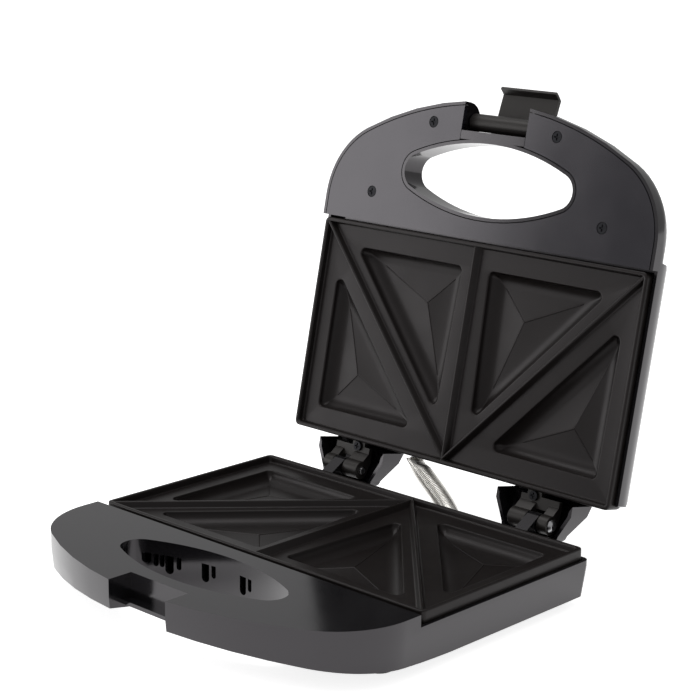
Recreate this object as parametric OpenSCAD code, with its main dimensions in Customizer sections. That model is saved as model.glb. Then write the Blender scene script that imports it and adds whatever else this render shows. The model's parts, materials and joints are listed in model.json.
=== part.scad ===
// Two-slice sandwich toaster, shown open.
// Working frame: X to the right, Y from the front edge of the plates towards the hinge,
// Z up from the rim of the lower plate. Lid pieces are drawn closed and then swung open.

/* [Plates] */
// Width of each plate over its rim
plate_w = 222; // [212:1:232]
// Depth of each plate over its rim
plate_d = 121; // [119:1:126]
// Height of the plate's outer skirt
skirt_h = 10.6; // [10:0.1:11]
// Thickness of the skirt wall
rim_t = 2.6; // [2.2:0.1:3]
// Depth of the flat land below the rim
land_drop = 3.7; // [3:0.1:4.2]
// Thickness of the cast plate
plate_t = 2.6; // [2.4:0.1:3]
// Depth of a pocket's floor edge below the land
pocket_depth = 6.2; // [5:0.1:6.5]
// Width of a pocket's curved wall
pocket_wall = 8; // [6:0.5:9]
// Rise of a pocket's three floor facets towards their meeting point
floor_rise = 1.5; // [0.6:0.1:2]
// Radius of a pocket's corners in plan
pocket_corner_r = 3; // [2.5:0.5:4]
// Margin between the rim and the outer pockets
pocket_margin = 13; // [12.5:0.5:15]
// Width of a ridge where it meets the land
ridge_w = 4.6; // [3.6:0.1:5.2]
// Gap between the two plates when the lid is shut
seam = 0.4; // [0.3:0.1:0.8]

/* [Casing] */
// Thickness of the casing walls
wall = 1.8; // [1.6:0.1:2.4]
// Gap between a plate's skirt and the casing
plate_gap = 0.6; // [0.5:0.1:1.4]
// Reach of the handle in front of the plates
handle_reach = 75; // [73:0.5:80]
// Radius of the handle's corners in plan
corner_r = 45; // [42:0.5:47]
// Distance from the plates' front edge to the centre of the handle's corners
corner_set = 13; // [12:0.5:15]
// Gap between the handle deck and the plate's front edge
deck_gap = 3.6; // [3.2:0.1:4.2]
// Drop of the casing rim below the plate's rim
rim_step = 6; // [4:0.1:6.4]
// Depth of the base casing below the plate's rim
base_h = 25; // [24:0.5:27]
// Inward draft of the base's walls at the bottom
base_draft = 1.5; // [1:0.1:2.5]
// Rise of the base's underside at the front
front_rise = 10.5; // [8:0.5:11]
// Distance behind the plates' front edge where that rise starts
rise_start = 30; // [20:1:40]
// Thickness of the bottom cover
cover_t = 2.2; // [2:0.1:2.6]
// Fitting gap round covers
fit = 0.3; // [0.2:0.05:0.5]

/* [Lid] */
// Angle between the plates when the lid rests fully open
lid_open = 101.8; // [98:0.1:101.8]
// Height of the lid's upright rim wall
lid_wall_h = 8; // [6:0.5:9]
// Height of the lid's rounded shoulder
shoulder_h = 18; // [16:0.5:20]
// Inward run of the lid's rounded shoulder
shoulder_in = 22; // [20:0.5:26]
// Crown of the lid's top above its shoulder
crown_h = 1.3; // [1:0.1:3]
// Thickness of the handle part of the lid
grip_h = 15; // [15:0.1:16]
// Rounding of the handle part's outer edge
grip_round = 10; // [6:0.5:10]
// Step of the lid's rim behind the upper plate's rim
lid_step = 4.5; // [3.5:0.1:5]
// Thickness of the lid's outer skin
skin = 1.8; // [1.6:0.1:2]
// Thickness of the handle's inner cover
inner_cover_t = 2.4; // [2:0.1:2.8]
// Gap between the inner cover and the upper plate
lid_gap = 1.3; // [1:0.1:2]
// Gap round the inner cover
cover_gap = 0.5; // [0.3:0.1:0.6]

/* [Handle openings] */
// Half width of the base's oval opening
oval_w = 55; // [50:0.5:56]
// End radius of the oval openings
oval_end_r = 9.5; // [9:0.1:11]
// Width of the handle in front of the ovals
grip_band = 22.5; // [22:0.5:24]
// Distance from the plates' front edge to the ovals
oval_back = 13.5; // [13:0.5:15]
// Half width of the lid's oval opening
lid_oval_w = 57.5; // [54:0.5:60]
// Thickness of the tube wall round each oval
tube_t = 1.8; // [1.6:0.1:2]

/* [Latch] */
// Distance from the handle's front edge to the latch pivot
pivot_inset = 11.5; // [11:0.1:12]
// Height of the latch pivot above the parting line
pivot_h = 10; // [9.8:0.1:10.2]
// Radius of the latch barrel
barrel_r = 4.8; // [4.4:0.1:5]
// Half width of the latch barrel
barrel_w = 21.4; // [20:0.1:21.4]
// Half width of the latch plate
latch_w = 18.9; // [17:0.1:19.2]
// Radius of the latch pin
latch_pin_r = 1.5; // [1.3:0.1:1.8]
// Inner radius of the hook's lip about the pivot
hook_r = 24.8; // [24.8:0.1:25.4]
// Thickness of the hook's lip
hook_t = 1.5; // [1.2:0.1:1.8]
// Distance of the latch plate's inner face from its pivot
latch_off = 14.3; // [14:0.1:14.6]
// Thickness of the latch plate
latch_t = 2.2; // [1.8:0.1:2.4]
// Angle that the latch swings from hooked to fully open
latch_swing = 128.5; // [124:0.5:130]
// Half width of the lid's latch recess
recess_w = 22; // [22:0.1:23]
// Half width of the base's latch notch
notch_w = 20; // [19.8:0.1:21]
// Depth of the base's latch notch
notch_depth = 15; // [14.6:0.1:15.5]
// Reach of the keeper ledge that the hook grips
keeper_reach = 6; // [5:0.1:6.2]
// Thickness of the keeper ledge
keeper_t = 2; // [1.6:0.1:2.4]
// Depth of the keeper ledge's underside below the rim
keeper_z = 14.2; // [13.8:0.1:14.2]

/* [Hinges] */
// Distance from the plates' rear edge to the hinge axis
hinge_back = 15.2; // [15:0.1:16]
// Drop of the hinge axis below the lower plate's rim
hinge_drop = 0.5; // [0:0.1:0.8]
// Radius of the hinge knuckles
knuckle_r = 5; // [4.6:0.1:5.2]
// Radius of the hinge pin
pin_r = 2; // [1.8:0.1:2.2]
// Radial clearance of a turning pin
run_gap = 0.05; // [0.03:0.01:0.08]
// Inner and outer ends of the base knuckle, from the middle of the toaster
lug_in = 65; // [64:0.5:66]
// Width of the base knuckle
lug_w = 7.5; // [7:0.1:8]
// Width of the lid's inner knuckle
inner_knuckle_w = 10.5; // [9:0.5:11]
// Width of the lid's outer knuckle
outer_knuckle_w = 6; // [5:0.5:6.5]
// Side gap between knuckles
side_play = 0.5; // [0.4:0.1:0.8]
// Half spread of a hinge arm's root along the lid
arm_root = 24.5; // [23:0.5:25]
// Half spread of a hinge arm's tip
arm_tip = 18.5; // [18:0.5:19]
// Middle of a hinge arm, from the middle of the toaster
arm_mid = 65; // [64.5:0.5:66]
// Thickness of a hinge arm's wall
arm_t = 2.2; // [1.8:0.1:2.4]
// Gap between a knuckle and the arm that wraps it
wrap_gap = 1.4; // [1.2:0.1:1.6]

/* [Wire guard spring] */
// Radius of the spring's outside
spring_r = 4.8; // [4.4:0.1:5]
// Radius of the spring wire
wire_r = 0.4; // [0.3:0.05:0.4]
// Number of curls
curls = 33; // [24:1:33]
// Spring's place across the base
spring_base_x = 20; // [18:1:24]
// Depth of the spring's seat below the rim, in the base
spring_base_drop = 11.2; // [10.6:0.1:12]
// Spring's place across the lid, to the left
spring_lid_x = 27; // [24:1:28]
// Height of the spring's seat above the parting line, in the lid
spring_lid_h = 11.8; // [11:0.1:13]
// Radius of the sleeve inside the spring
sleeve_r = 2.7; // [2:0.1:2.9]

/* [Feet] */
// Radius of a foot
foot_r = 8; // [7:0.5:9]
// Height of a foot below the base
foot_h = 5.5; // [5:0.5:7]
// Distance of the feet from the casing's sides
foot_inset = 21.4; // [20.4:0.1:27.4]
// Distance of the front feet ahead of the plates' front edge
foot_front = 8; // [6:1:10]
// Distance of the rear feet ahead of the plates' rear edge
foot_rear = 10; // [9:1:12]

/* [Heating] */
// Radius of the heating elements
element_r = 2.5; // [2.2:0.1:3]
// Gap between a heating element and the casting or the tray
element_gap = 0.3; // [0.2:0.1:0.5]
// Thickness of the sheet metal reflectors
sheet_t = 0.6; // [0.5:0.1:0.8]
// Radius of the cord inlet's bore
inlet_r = 3.5; // [3:0.1:3.8]
// Radius of the lamp lenses
lens_r = 3.5; // [3:0.1:4]

/* [Fasteners] */
// Radius of a screw's shank hole
screw_r = 1.5; // [1.4:0.05:1.6]
// Radius of a screw's head
head_r = 2.9; // [2.6:0.1:3]
// Length of the cover screws and bracket screws
screw_len = 8; // [6:0.5:9]
// Length of the plate screws
plate_screw_len = 7; // [5:0.5:8]

/* [Hidden] */
$fn = 64;

casing_c = [0.16, 0.16, 0.17];
inner_cover_c = [0.19, 0.19, 0.22];
plate_c = [0.12, 0.11, 0.11];
latch_c = [0.17, 0.15, 0.14];
steel_c = [0.72, 0.72, 0.72];
dark_steel_c = [0.25, 0.25, 0.26];
sheet_c = [0.66, 0.67, 0.68];
rubber_c = [0.06, 0.06, 0.06];
bakelite_c = [0.78, 0.76, 0.70];

// Derived places
half_w = plate_w / 2 + plate_gap + wall;
rear_y = plate_d + plate_gap + wall;
front_y = -handle_reach;
corner_x = half_w - corner_r;
foot_x = half_w - foot_inset;
corner_y = -corner_set;
corner_run = corner_y - front_y;
front_r = (pow(corner_x, 2) + pow(corner_run, 2) - pow(corner_r, 2)) / (2 * (corner_run - corner_r));
front_arc_y = front_y + front_r;
rear_corner_r = 4;
rise_y = rise_start;
rise_run = rise_y - front_y;
rise_r = (pow(rise_run, 2) + pow(front_rise, 2)) / (2 * front_rise);
hinge_y = plate_d + hinge_back;
hinge_z = -hinge_drop;
pivot_set = handle_reach - pivot_inset;
notch_set = handle_reach - notch_depth;
pivot = [0, -pivot_set, seam + pivot_h];
oval_d = (handle_reach - grip_band - oval_back) / 2;
oval_y = -oval_back - oval_d;
lug_out = lug_in + lug_w;
inner_end = lug_in - side_play - inner_knuckle_w;
outer_end = lug_out + side_play + outer_knuckle_w;
cone_len = 4;
arm_r = knuckle_r + wrap_gap + arm_t;
stand_h = base_h + foot_h;
lid_top = lid_wall_h + shoulder_h + crown_h;

// Inside the plate well
shelf_z = skirt_h + 0.2;
shelf_t = 2.2;
shelf_in = 9;
pan_drop = land_drop + pocket_depth + plate_t;
element_z = pan_drop + element_gap + element_r;
tray_z = element_z + element_r + element_gap;
tray_side = plate_w / 2 - 17.6;
tray_front = 13;
tray_lip = 8;
tray_rear = plate_d - 18;
boss_r = 3.5;
pilot_r = 1.25;
shank_r = pilot_r - 0.05;

// Rear extent of the open lid, which sets the middle of the whole object
function swung(y, z) = [
  hinge_y + (y - hinge_y) * cos(lid_open) + (z - hinge_z) * sin(lid_open),
  hinge_z - (y - hinge_y) * sin(lid_open) + (z - hinge_z) * cos(lid_open)
];
// Latch plate in its own frame: inner face below the pivot, hook's root in front of it
lip_tip = 4;
lip_span = 10;
hook_run = sqrt(pow(hook_r, 2) - pow(latch_off, 2));
hook_run_out = sqrt(pow(hook_r + hook_t, 2) - pow(latch_off + latch_t, 2));
latch_lean = lip_tip - lip_span - atan2(hook_run, latch_off);
latch_turn = latch_lean - latch_swing;
latch_back = swung(-pivot_set + hook_run_out * cos(latch_turn) + (latch_off + latch_t) * sin(latch_turn),
  seam + pivot_h + hook_run_out * sin(latch_turn) - (latch_off + latch_t) * cos(latch_turn));
rear_reach = latch_back[0];
// The latch notch cuts the foremost part of the handle's arc away
front_reach = front_arc_y - sqrt(pow(front_r, 2) - pow(notch_w, 2));
centre_y = (front_reach + rear_reach) / 2;

module base_at() translate([0, -centre_y, stand_h]) children();
module lid_at() translate([0, hinge_y - centre_y, hinge_z + stand_h])
  rotate([-lid_open, 0, 0]) translate([0, -hinge_y, -hinge_z]) children();
// Lid pieces are drawn upwards from the parting line
module lid_up() translate([0, 0, seam]) children();
// Extrudes a profile drawn in Y and Z along X, centred
module along_x(length) rotate([90, 0, 90]) translate([0, 0, -length / 2]) linear_extrude(length) children();
module x_rod(r, x0, x1, y, z) translate([x0, y, z]) rotate([0, 90, 0]) cylinder(r = r, h = x1 - x0);
module y_rod(r, x, y0, y1, z) translate([x, y0, z]) rotate([-90, 0, 0]) cylinder(r = r, h = y1 - y0);

// ---------------------------------------------------------------- outlines

// Plan of the casing: round-cornered handle in front, straight sides behind
module outline(inset = 0) {
  for (s = [-1, 1]) translate([s * corner_x, corner_y]) circle(corner_r - inset);
  intersection() {
    translate([0, front_arc_y]) circle(front_r - inset);
    polygon([[-corner_x, corner_y], [-2 * corner_x, 2 * corner_y - front_arc_y],
      [2 * corner_x, 2 * corner_y - front_arc_y], [corner_x, corner_y]]);
  }
  translate([-half_w + inset, corner_y])
    square([2 * (half_w - inset), rear_y - rear_corner_r - inset - corner_y]);
  for (s = [-1, 1]) translate([s * (half_w - rear_corner_r - inset), rear_y - rear_corner_r - inset])
    circle(rear_corner_r, $fn = 32);
  translate([-half_w + rear_corner_r + inset, corner_y])
    square([2 * (half_w - rear_corner_r - inset), rear_y - inset - corner_y]);
}

// Plan oval from four tangent arcs
module oval(w, d, grow = 0) {
  run = w - oval_end_r;
  side_r = (pow(run, 2) + pow(d, 2) - pow(oval_end_r, 2)) / (2 * (d - oval_end_r));
  join_x = run * (1 + (oval_end_r + grow) / (side_r - oval_end_r));
  for (s = [-1, 1]) translate([s * run, 0]) circle(oval_end_r + grow);
  intersection() {
    translate([0, d - side_r]) circle(side_r + grow);
    translate([0, side_r - d]) circle(side_r + grow);
    square([2 * join_x, 4 * d], center = true);
  }
}

// Rectangle with round corners
module round_rect(x0, y0, x1, y1, r) {
  translate([x0 + r, y0]) square([x1 - x0 - 2 * r, y1 - y0]);
  translate([x0, y0 + r]) square([x1 - x0, y1 - y0 - 2 * r]);
  for (x = [x0 + r, x1 - r], y = [y0 + r, y1 - r]) translate([x, y]) circle(r, $fn = 32);
}

// ---------------------------------------------------------------- cooking plates

// Pocket triangles of the right-hand half: right angle first, then the two sharp corners
centre_margin = 9.5;
inner_pocket = [[centre_margin, pocket_margin + 1], [plate_w / 2 - 24, pocket_margin + 1],
  [centre_margin + 3, plate_d - 26]];
outer_pocket = [[plate_w / 2 - pocket_margin - 0.2, plate_d - pocket_margin - 0.2],
  [plate_w / 2 - pocket_margin + 0.6, 29.5], [27, plate_d - pocket_margin - 0.8]];

function side_len(a, b) = norm(b - a);
function perimeter(t) = side_len(t[0], t[1]) + side_len(t[1], t[2]) + side_len(t[2], t[0]);
function incentre(t) = (side_len(t[1], t[2]) * t[0] + side_len(t[2], t[0]) * t[1]
  + side_len(t[0], t[1]) * t[2]) / perimeter(t);
function turn(t) = (t[1][0] - t[0][0]) * (t[2][1] - t[0][1]) - (t[1][1] - t[0][1]) * (t[2][0] - t[0][0]);
function inradius(t) = abs(turn(t)) / perimeter(t);
// Outward normal's angle on the edge that leaves corner i, for a triangle listed anticlockwise
function edge_angle(t, i) = let (d = t[(i + 1) % 3] - t[i]) atan2(-d[0], d[1]);
corner_steps = 4;
// One round-cornered triangle at a given inset and height
function ring(t, inset, r, z) = let (c = incentre(t), q = inradius(t)) [
  for (i = [0:2]) let (a0 = edge_angle(t, (i + 2) % 3), a1 = edge_angle(t, i),
    sweep = (a1 - a0 + 720) % 360, p = c + (t[i] - c) * (q - inset - r) / q)
    for (k = [0:corner_steps]) let (a = a0 + sweep * k / corner_steps)
      [p[0] + r * cos(a), p[1] + r * sin(a), z]
];
function anticlockwise(t) = turn(t) > 0 ? t : [t[0], t[2], t[1]];
ring_n = 3 * (corner_steps + 1);

// A pocket's bowl: rings down a quarter-round wall, then three facets that meet at a point
module bowl(triangle, grow, top, start, end, rise, steps) {
  t = anticlockwise(triangle);
  c = incentre(t);
  rings = [for (k = [-1:steps]) let (a = 90 * max(k, 0) / steps,
    inset = pocket_wall * (1 - cos(a)) - grow,
    r = max(pocket_corner_r + grow - 0.75 * pocket_wall * (1 - cos(a)), 0.8))
    ring(t, inset, r, k < 0 ? top : start + (end - start) * sin(a))];
  pts = [for (g = rings) each g, [c[0], c[1], top], [c[0], c[1], end + rise]];
  n = ring_n;
  last = (steps + 1) * n;
  hub = (steps + 2) * n;
  faces = [for (i = [0:n - 1]) let (j = (i + 1) % n) each concat(
    [[i, j, hub]],
    [for (k = [0:steps]) each [
      [k * n + i, k * n + n + i, k * n + n + j],
      [k * n + i, k * n + n + j, k * n + j]]],
    [[last + i, hub + 1, last + j]])];
  polyhedron(pts, [for (f = faces) [f[0], f[2], f[1]]], convexity = 4);
}

// Ridge with sloped sides along a line on the land
module ridge(from, to, foot_w, top_w) {
  run = to - from;
  translate([from[0], from[1], 0]) rotate([0, 0, atan2(run[1], run[0])]) rotate([90, 0, 90])
    linear_extrude(norm(run)) polygon([[-foot_w / 2, -land_drop - 0.5], [foot_w / 2, -land_drop - 0.5],
      [foot_w / 2, -land_drop], [top_w / 2, -0.4], [-top_w / 2, -0.4], [-foot_w / 2, -land_drop]]);
}

boss_points = [[plate_w / 2 - 30, 31.6], [24, plate_d - 24]];
module at_bosses() for (p = boss_points, s = [-1, 1]) translate([s * p[0], p[1], 0]) children();

// Cast plate with four pockets, drawn with its rim upwards at Z 0
module cooking_plate() {
  w = plate_w / 2;
  difference() {
    union() {
      difference() {
        translate([0, 0, -skirt_h]) linear_extrude(skirt_h) round_rect(-w, 0, w, plate_d, 3);
        translate([0, 0, -land_drop]) linear_extrude(land_drop + 1)
          round_rect(rim_t - w, rim_t, w - rim_t, plate_d - rim_t, 1.5);
        translate([0, 0, -skirt_h - 1]) linear_extrude(skirt_h + 1 - land_drop - plate_t)
          round_rect(rim_t - w, rim_t, w - rim_t, plate_d - rim_t, 1.5);
      }
      intersection() {
        translate([-w + 1, 1, -land_drop - 1]) cube([plate_w - 2, plate_d - 2, land_drop + 1]);
        union() {
          ridge([0, 1], [0, plate_d - 1], ridge_w, 1.4);
          for (s = [-1, 1])
            ridge([0, plate_d - rim_t - 1], [s * (w - rim_t - 0.4), rim_t + 0.4], ridge_w - 1, 1);
        }
      }
      for (m = [0, 1], t = [inner_pocket, outer_pocket]) mirror([m, 0, 0])
        bowl(t, plate_t - 1, -land_drop - 0.3, -land_drop - 1, -pan_drop, 0, 4);
      at_bosses() translate([0, 0, -tray_z]) cylinder(r = boss_r, h = tray_z - land_drop - 1);
    }
    for (m = [0, 1], t = [inner_pocket, outer_pocket]) mirror([m, 0, 0])
      bowl(t, 0, 1, -land_drop - 0.01, -land_drop - pocket_depth, floor_rise, 6);
    at_bosses() translate([0, 0, -tray_z - 1]) cylinder(r = pilot_r, h = 9);
  }
}

// ---------------------------------------------------------------- heating parts

leg_x = 12;
leg_turn = 12;
loop_turn = 20;
loop_x = plate_w / 2 - 23;
loop_front = 36;
loop_back = plate_d - 35;
leg_end = plate_d - 14;

module tube_run(x0, y0, x1, y1) translate([x0, y0, 0]) rotate([0, 0, atan2(y1 - y0, x1 - x0)])
  rotate([0, 90, 0]) cylinder(r = element_r, h = norm([x1 - x0, y1 - y0]), $fn = 32);
module tube_bend(x, y, r, start) translate([x, y, 0]) rotate([0, 0, start])
  rotate_extrude(angle = 90) translate([r, 0]) circle(element_r, $fn = 32);

// Bent tubular element with two terminal pins
module heating_element() translate([0, 0, -element_z]) {
  for (m = [0, 1]) mirror([m, 0, 0]) {
    tube_run(leg_x, loop_back + leg_turn, leg_x, leg_end);
    tube_bend(leg_x + leg_turn, loop_back + leg_turn, leg_turn, 180);
    tube_run(leg_x + leg_turn, loop_back, loop_x - loop_turn, loop_back);
    tube_bend(loop_x - loop_turn, loop_back - loop_turn, loop_turn, 0);
    tube_run(loop_x, loop_front + loop_turn, loop_x, loop_back - loop_turn);
    tube_bend(loop_x - loop_turn, loop_front + loop_turn, loop_turn, 270);
    tube_run(0, loop_front, loop_x - loop_turn, loop_front);
    y_rod(1.4, leg_x, leg_end, leg_end + 7, 0);
  }
}

// Pressed tray behind the element, with a lip that clamps the casing's shelf
module reflector() {
  lip_z = shelf_z + shelf_t + 0.1;
  difference() {
    union() {
      translate([-tray_side, tray_front, -tray_z - sheet_t])
        cube([2 * tray_side, tray_rear - tray_front, tray_z + sheet_t - lip_z]);
      translate([-tray_side - tray_lip, shelf_in - 1.6, -lip_z - sheet_t])
        cube([2 * (tray_side + tray_lip), tray_rear - shelf_in + 1.6, sheet_t]);
    }
    translate([-tray_side + sheet_t, tray_front + sheet_t, -tray_z])
      cube([2 * (tray_side - sheet_t), tray_rear - tray_front - 2 * sheet_t, tray_z]);
    for (s = [-1, 1]) y_rod(element_r + 0.4, s * leg_x, tray_rear - 3, tray_rear + 1, -element_z);
    at_bosses() translate([0, 0, -tray_z - 2]) cylinder(r = shank_r + 0.2, h = 4);
  }
}

// Pan-head screw, head downwards at Z 0, shank up
module screw(length, r = shank_r, head = head_r, head_h = 1.5, drive = 0.8) {
  difference() {
    union() {
      translate([0, 0, -head_h]) cylinder(r = head, h = head_h, $fn = 32);
      cylinder(r = r, h = length, $fn = 24);
    }
    for (a = [0, 90]) rotate([0, 0, a]) translate([-head * 0.6, -head * 0.13, -head_h - 1])
      cube([head * 1.2, head * 0.26, 1 + drive]);
  }
}
module plate_screws() at_bosses() translate([0, 0, -tray_z - sheet_t]) screw(plate_screw_len);

// ---------------------------------------------------------------- base casing

// Side view of the base, seen along X, with its step at the rim and its rising front
module base_profile(step = rim_step) difference() {
  union() {
    intersection() {
      translate([rise_y, rise_r - base_h]) circle(rise_r, $fn = 360);
      translate([front_y - 1, -base_h]) square([rise_y - front_y + 1, base_h]);
    }
    translate([rise_y, -base_h]) square([rear_y - rise_y + 1, base_h]);
  }
  translate([-deck_gap, -step]) square([rear_y + 10, step + 1]);
}
// Drafted body of the base, without its step
module base_block(inset) hull() {
  translate([0, 0, -9]) linear_extrude(9) outline(inset);
  translate([0, 0, -base_h]) linear_extrude(0.5) outline(inset + base_draft);
}
module base_form() intersection() {
  base_block(0);
  along_x(2 * half_w) base_profile();
}

cover_screw_points = [[corner_x + 12, corner_y - 26], [half_w - 7.8, 4], [half_w - 7.8, plate_d - 6]];
module at_cover_screws() for (p = cover_screw_points, s = [-1, 1]) translate([s * p[0], p[1], 0]) children();
function floor_z(y) = y > rise_y ? -base_h : rise_r - base_h - sqrt(pow(rise_r, 2) - pow(y - rise_y, 2));
post_r = 3.6;
stem_r = 3;
stem_room = 5;
bulkhead_z = floor_z(-deck_gap - wall) + cover_t + 0.2;

// Long and short vent windows in the back of the oval tube
vent_pairs = [-36.4, -15.6, 10];
vent_top = 7.1;
module vent(x, w, bottom) {
  translate([x - w / 2, oval_y + 2, -bottom + w / 2]) cube([w, oval_d + 3, bottom - w / 2 - vent_top]);
  y_rod(w / 2, x, oval_y + 2, oval_y + oval_d + 5, -bottom + w / 2);
}
// Each window's place, width and depth: the two of a pair, and the three beside the pairs
pair_windows = [[-1.9, 4.6, 16.5], [3.3, 2.8, 13.5]];
side_windows = [[-42.2, 2.6, 13.5], [-45.4, 2.6, 13.5], [-49.9, 4.4, 12.5]];
module vents() {
  for (c = vent_pairs, v = pair_windows) vent(c + v[0], v[1], v[2]);
  for (v = side_windows) vent(v[0], v[1], v[2]);
}

lug_face = rear_y - 1;
function tangent_point(from, centre, r, side) = let (d = from - centre,
  a = atan2(d[1], d[0]) + side * acos(r / norm(d))) centre + r * [cos(a), sin(a)];
hinge_2d = [hinge_y, hinge_z];

// Base knuckle, carried on an arm from the rear wall
module hinge_lug() {
  top = [lug_face, -2.5];
  low = [rear_y + 1.2, -11];
  translate([(lug_in + lug_out) / 2, 0, 0]) along_x(lug_w) union() {
    translate(hinge_2d) circle(knuckle_r);
    polygon([top, tangent_point(top, hinge_2d, knuckle_r, -1), hinge_2d,
      tangent_point(low, hinge_2d, knuckle_r, 1), low, [lug_face, -11]]);
  }
}
platform_top = hinge_z - knuckle_r;
platform_out = 6.7;
platform_h = 8.5;
stop_rib_w = 3.5;
// Block under a hinge, with a rib that stops the open lid
module hinge_block() {
  translate([arm_mid, 0, 0]) along_x(2 * arm_root - 4) polygon([[lug_face, platform_top],
    [rear_y + platform_out, platform_top], [rear_y + platform_out, platform_top - 3.5],
    [lug_face, platform_top - platform_h]]);
  rib_y = swung(hinge_y + arm_r, seam)[0] - 0.3;
  translate([arm_mid - arm_tip + 4, lug_face, -9.3])
    cube([stop_rib_w, rib_y - lug_face, 9.3 + platform_top - 0.6]);
}

inlet_x = -31;
inlet_z = -15;
gland_r = inlet_r + 1.8;

// The guard spring runs almost straight, and its ends bear on both rear walls at a slant
seat_lean = 2;
spring_pull = 18;
function unit(v) = v / norm(v);
lid_seat = swung(rear_y, seam + spring_lid_h);
base_wall_point = [spring_base_x, rear_y, -spring_base_drop];
lid_wall_point = [-spring_lid_x, lid_seat[0], lid_seat[1]];
straight_dir = unit(lid_wall_point - base_wall_point);
base_dir = unit([0, 1, 0] + seat_lean * straight_dir);
lid_dir = unit([0, cos(lid_open), -sin(lid_open)] - seat_lean * straight_dir);
// Room that the slanting end curl needs to clear its wall by 0.3 mm
end_room = (spring_r * sqrt(1 - pow(base_dir[1], 2)) + 0.3) / base_dir[1];
spring_from = base_wall_point + end_room * base_dir;
spring_to = lid_wall_point + end_room * lid_dir;
// The lid seat's direction on the lid as it is drawn, shut
lid_drawn_dir = [lid_dir[0], lid_dir[1] * cos(lid_open) - lid_dir[2] * sin(lid_open),
  lid_dir[1] * sin(lid_open) + lid_dir[2] * cos(lid_open)];
module leaning_rod(r, from, dir, l0, l1) translate(from) rotate([0, acos(dir[2]), atan2(dir[1], dir[0])])
  translate([0, 0, l0]) cylinder(r = r, h = l1 - l0);
module base_seat_rod(r, l0, l1) leaning_rod(r, base_wall_point, base_dir, l0, l1);
module lid_seat_rod(r, l0, l1) leaning_rod(r, [-spring_lid_x, rear_y, spring_lid_h], lid_drawn_dir, l0, l1);

module base_housing() color(casing_c) base_at() difference() {
  union() {
    difference() {
      base_form();
      difference() {
        translate([0, 0, -0.01]) base_block_cavity();
        // deck over the handle, bulkhead behind it and shelf under the plate
        translate([-half_w, front_y, -wall]) cube([2 * half_w, -deck_gap - front_y, wall + 1]);
        translate([-half_w, -deck_gap - wall, bulkhead_z]) cube([2 * half_w, wall, -bulkhead_z + 1]);
        translate([-half_w, -deck_gap - 1, -shelf_z - shelf_t]) difference() {
          cube([2 * half_w, rear_y + deck_gap + 2, shelf_t]);
          translate([half_w - plate_w / 2 + shelf_in, deck_gap + 1 + shelf_in, -1])
            cube([plate_w - 2 * shelf_in, plate_d - 2 * shelf_in + 6, shelf_t + 2]);
        }
      }
    }
    intersection() {
      base_form();
      union() {
        translate([0, oval_y, -base_h]) linear_extrude(base_h - 0.5) oval(oval_w, oval_d, tube_t);
        for (p = cover_screw_points, s = [-1, 1]) let (z = floor_z(p[1] - post_r) + cover_t + 0.1)
          translate([s * p[0], p[1], z])
            cylinder(r = post_r, h = p[1] < -deck_gap ? -z - 0.5 : -z - shelf_z - 0.5);
        // box round the latch notch
        translate([-notch_w - wall, front_y - 1, -base_h])
          cube([2 * (notch_w + wall), -notch_set + wall - front_y + 1, base_h - 0.5]);
      }
    }
    for (m = [0, 1]) mirror([m, 0, 0]) {
      hinge_lug();
      hinge_block();
    }
    y_rod(gland_r + 1.2, inlet_x, rear_y - 1, rear_y + 0.8, inlet_z);
  }
  translate([0, oval_y, -base_h - 1]) linear_extrude(base_h + 3) oval(oval_w, oval_d);
  // latch notch, open below the keeper ledge
  difference() {
    translate([-notch_w, front_y - 2, -base_h - 1])
      cube([2 * notch_w, -notch_set - front_y + 2, base_h + 3]);
    translate([-notch_w - 1, -notch_set - keeper_reach, -keeper_z])
      cube([2 * notch_w + 2, keeper_reach + 1, keeper_t]);
  }
  vents();
  for (m = [0, 1]) mirror([m, 0, 0]) x_rod(pin_r + run_gap, lug_in - 1, lug_out + 1, hinge_y, hinge_z);
  base_seat_rod(sleeve_r + 0.6, -8, 8);
  y_rod(gland_r, inlet_x, rear_y - wall - 3, rear_y + 2, inlet_z);
  for (p = cover_screw_points, s = [-1, 1]) translate([s * p[0], p[1], floor_z(p[1]) - 1])
    cylinder(r = pilot_r, h = cover_t + 8);
  for (s = [-1, 1], y = [-foot_front, plate_d - foot_rear]) translate([s * foot_x, y, -base_h - 1])
    cylinder(r = stem_r + 1.4, h = cover_t + stem_room + 1.5);
}
// Room inside the base, from its underside up to the rim
module base_block_cavity() {
  hull() {
    translate([0, 0, -9]) linear_extrude(9.1) outline(wall);
    translate([0, 0, -base_h - 0.1]) linear_extrude(0.5) outline(wall + base_draft);
  }
}

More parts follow.
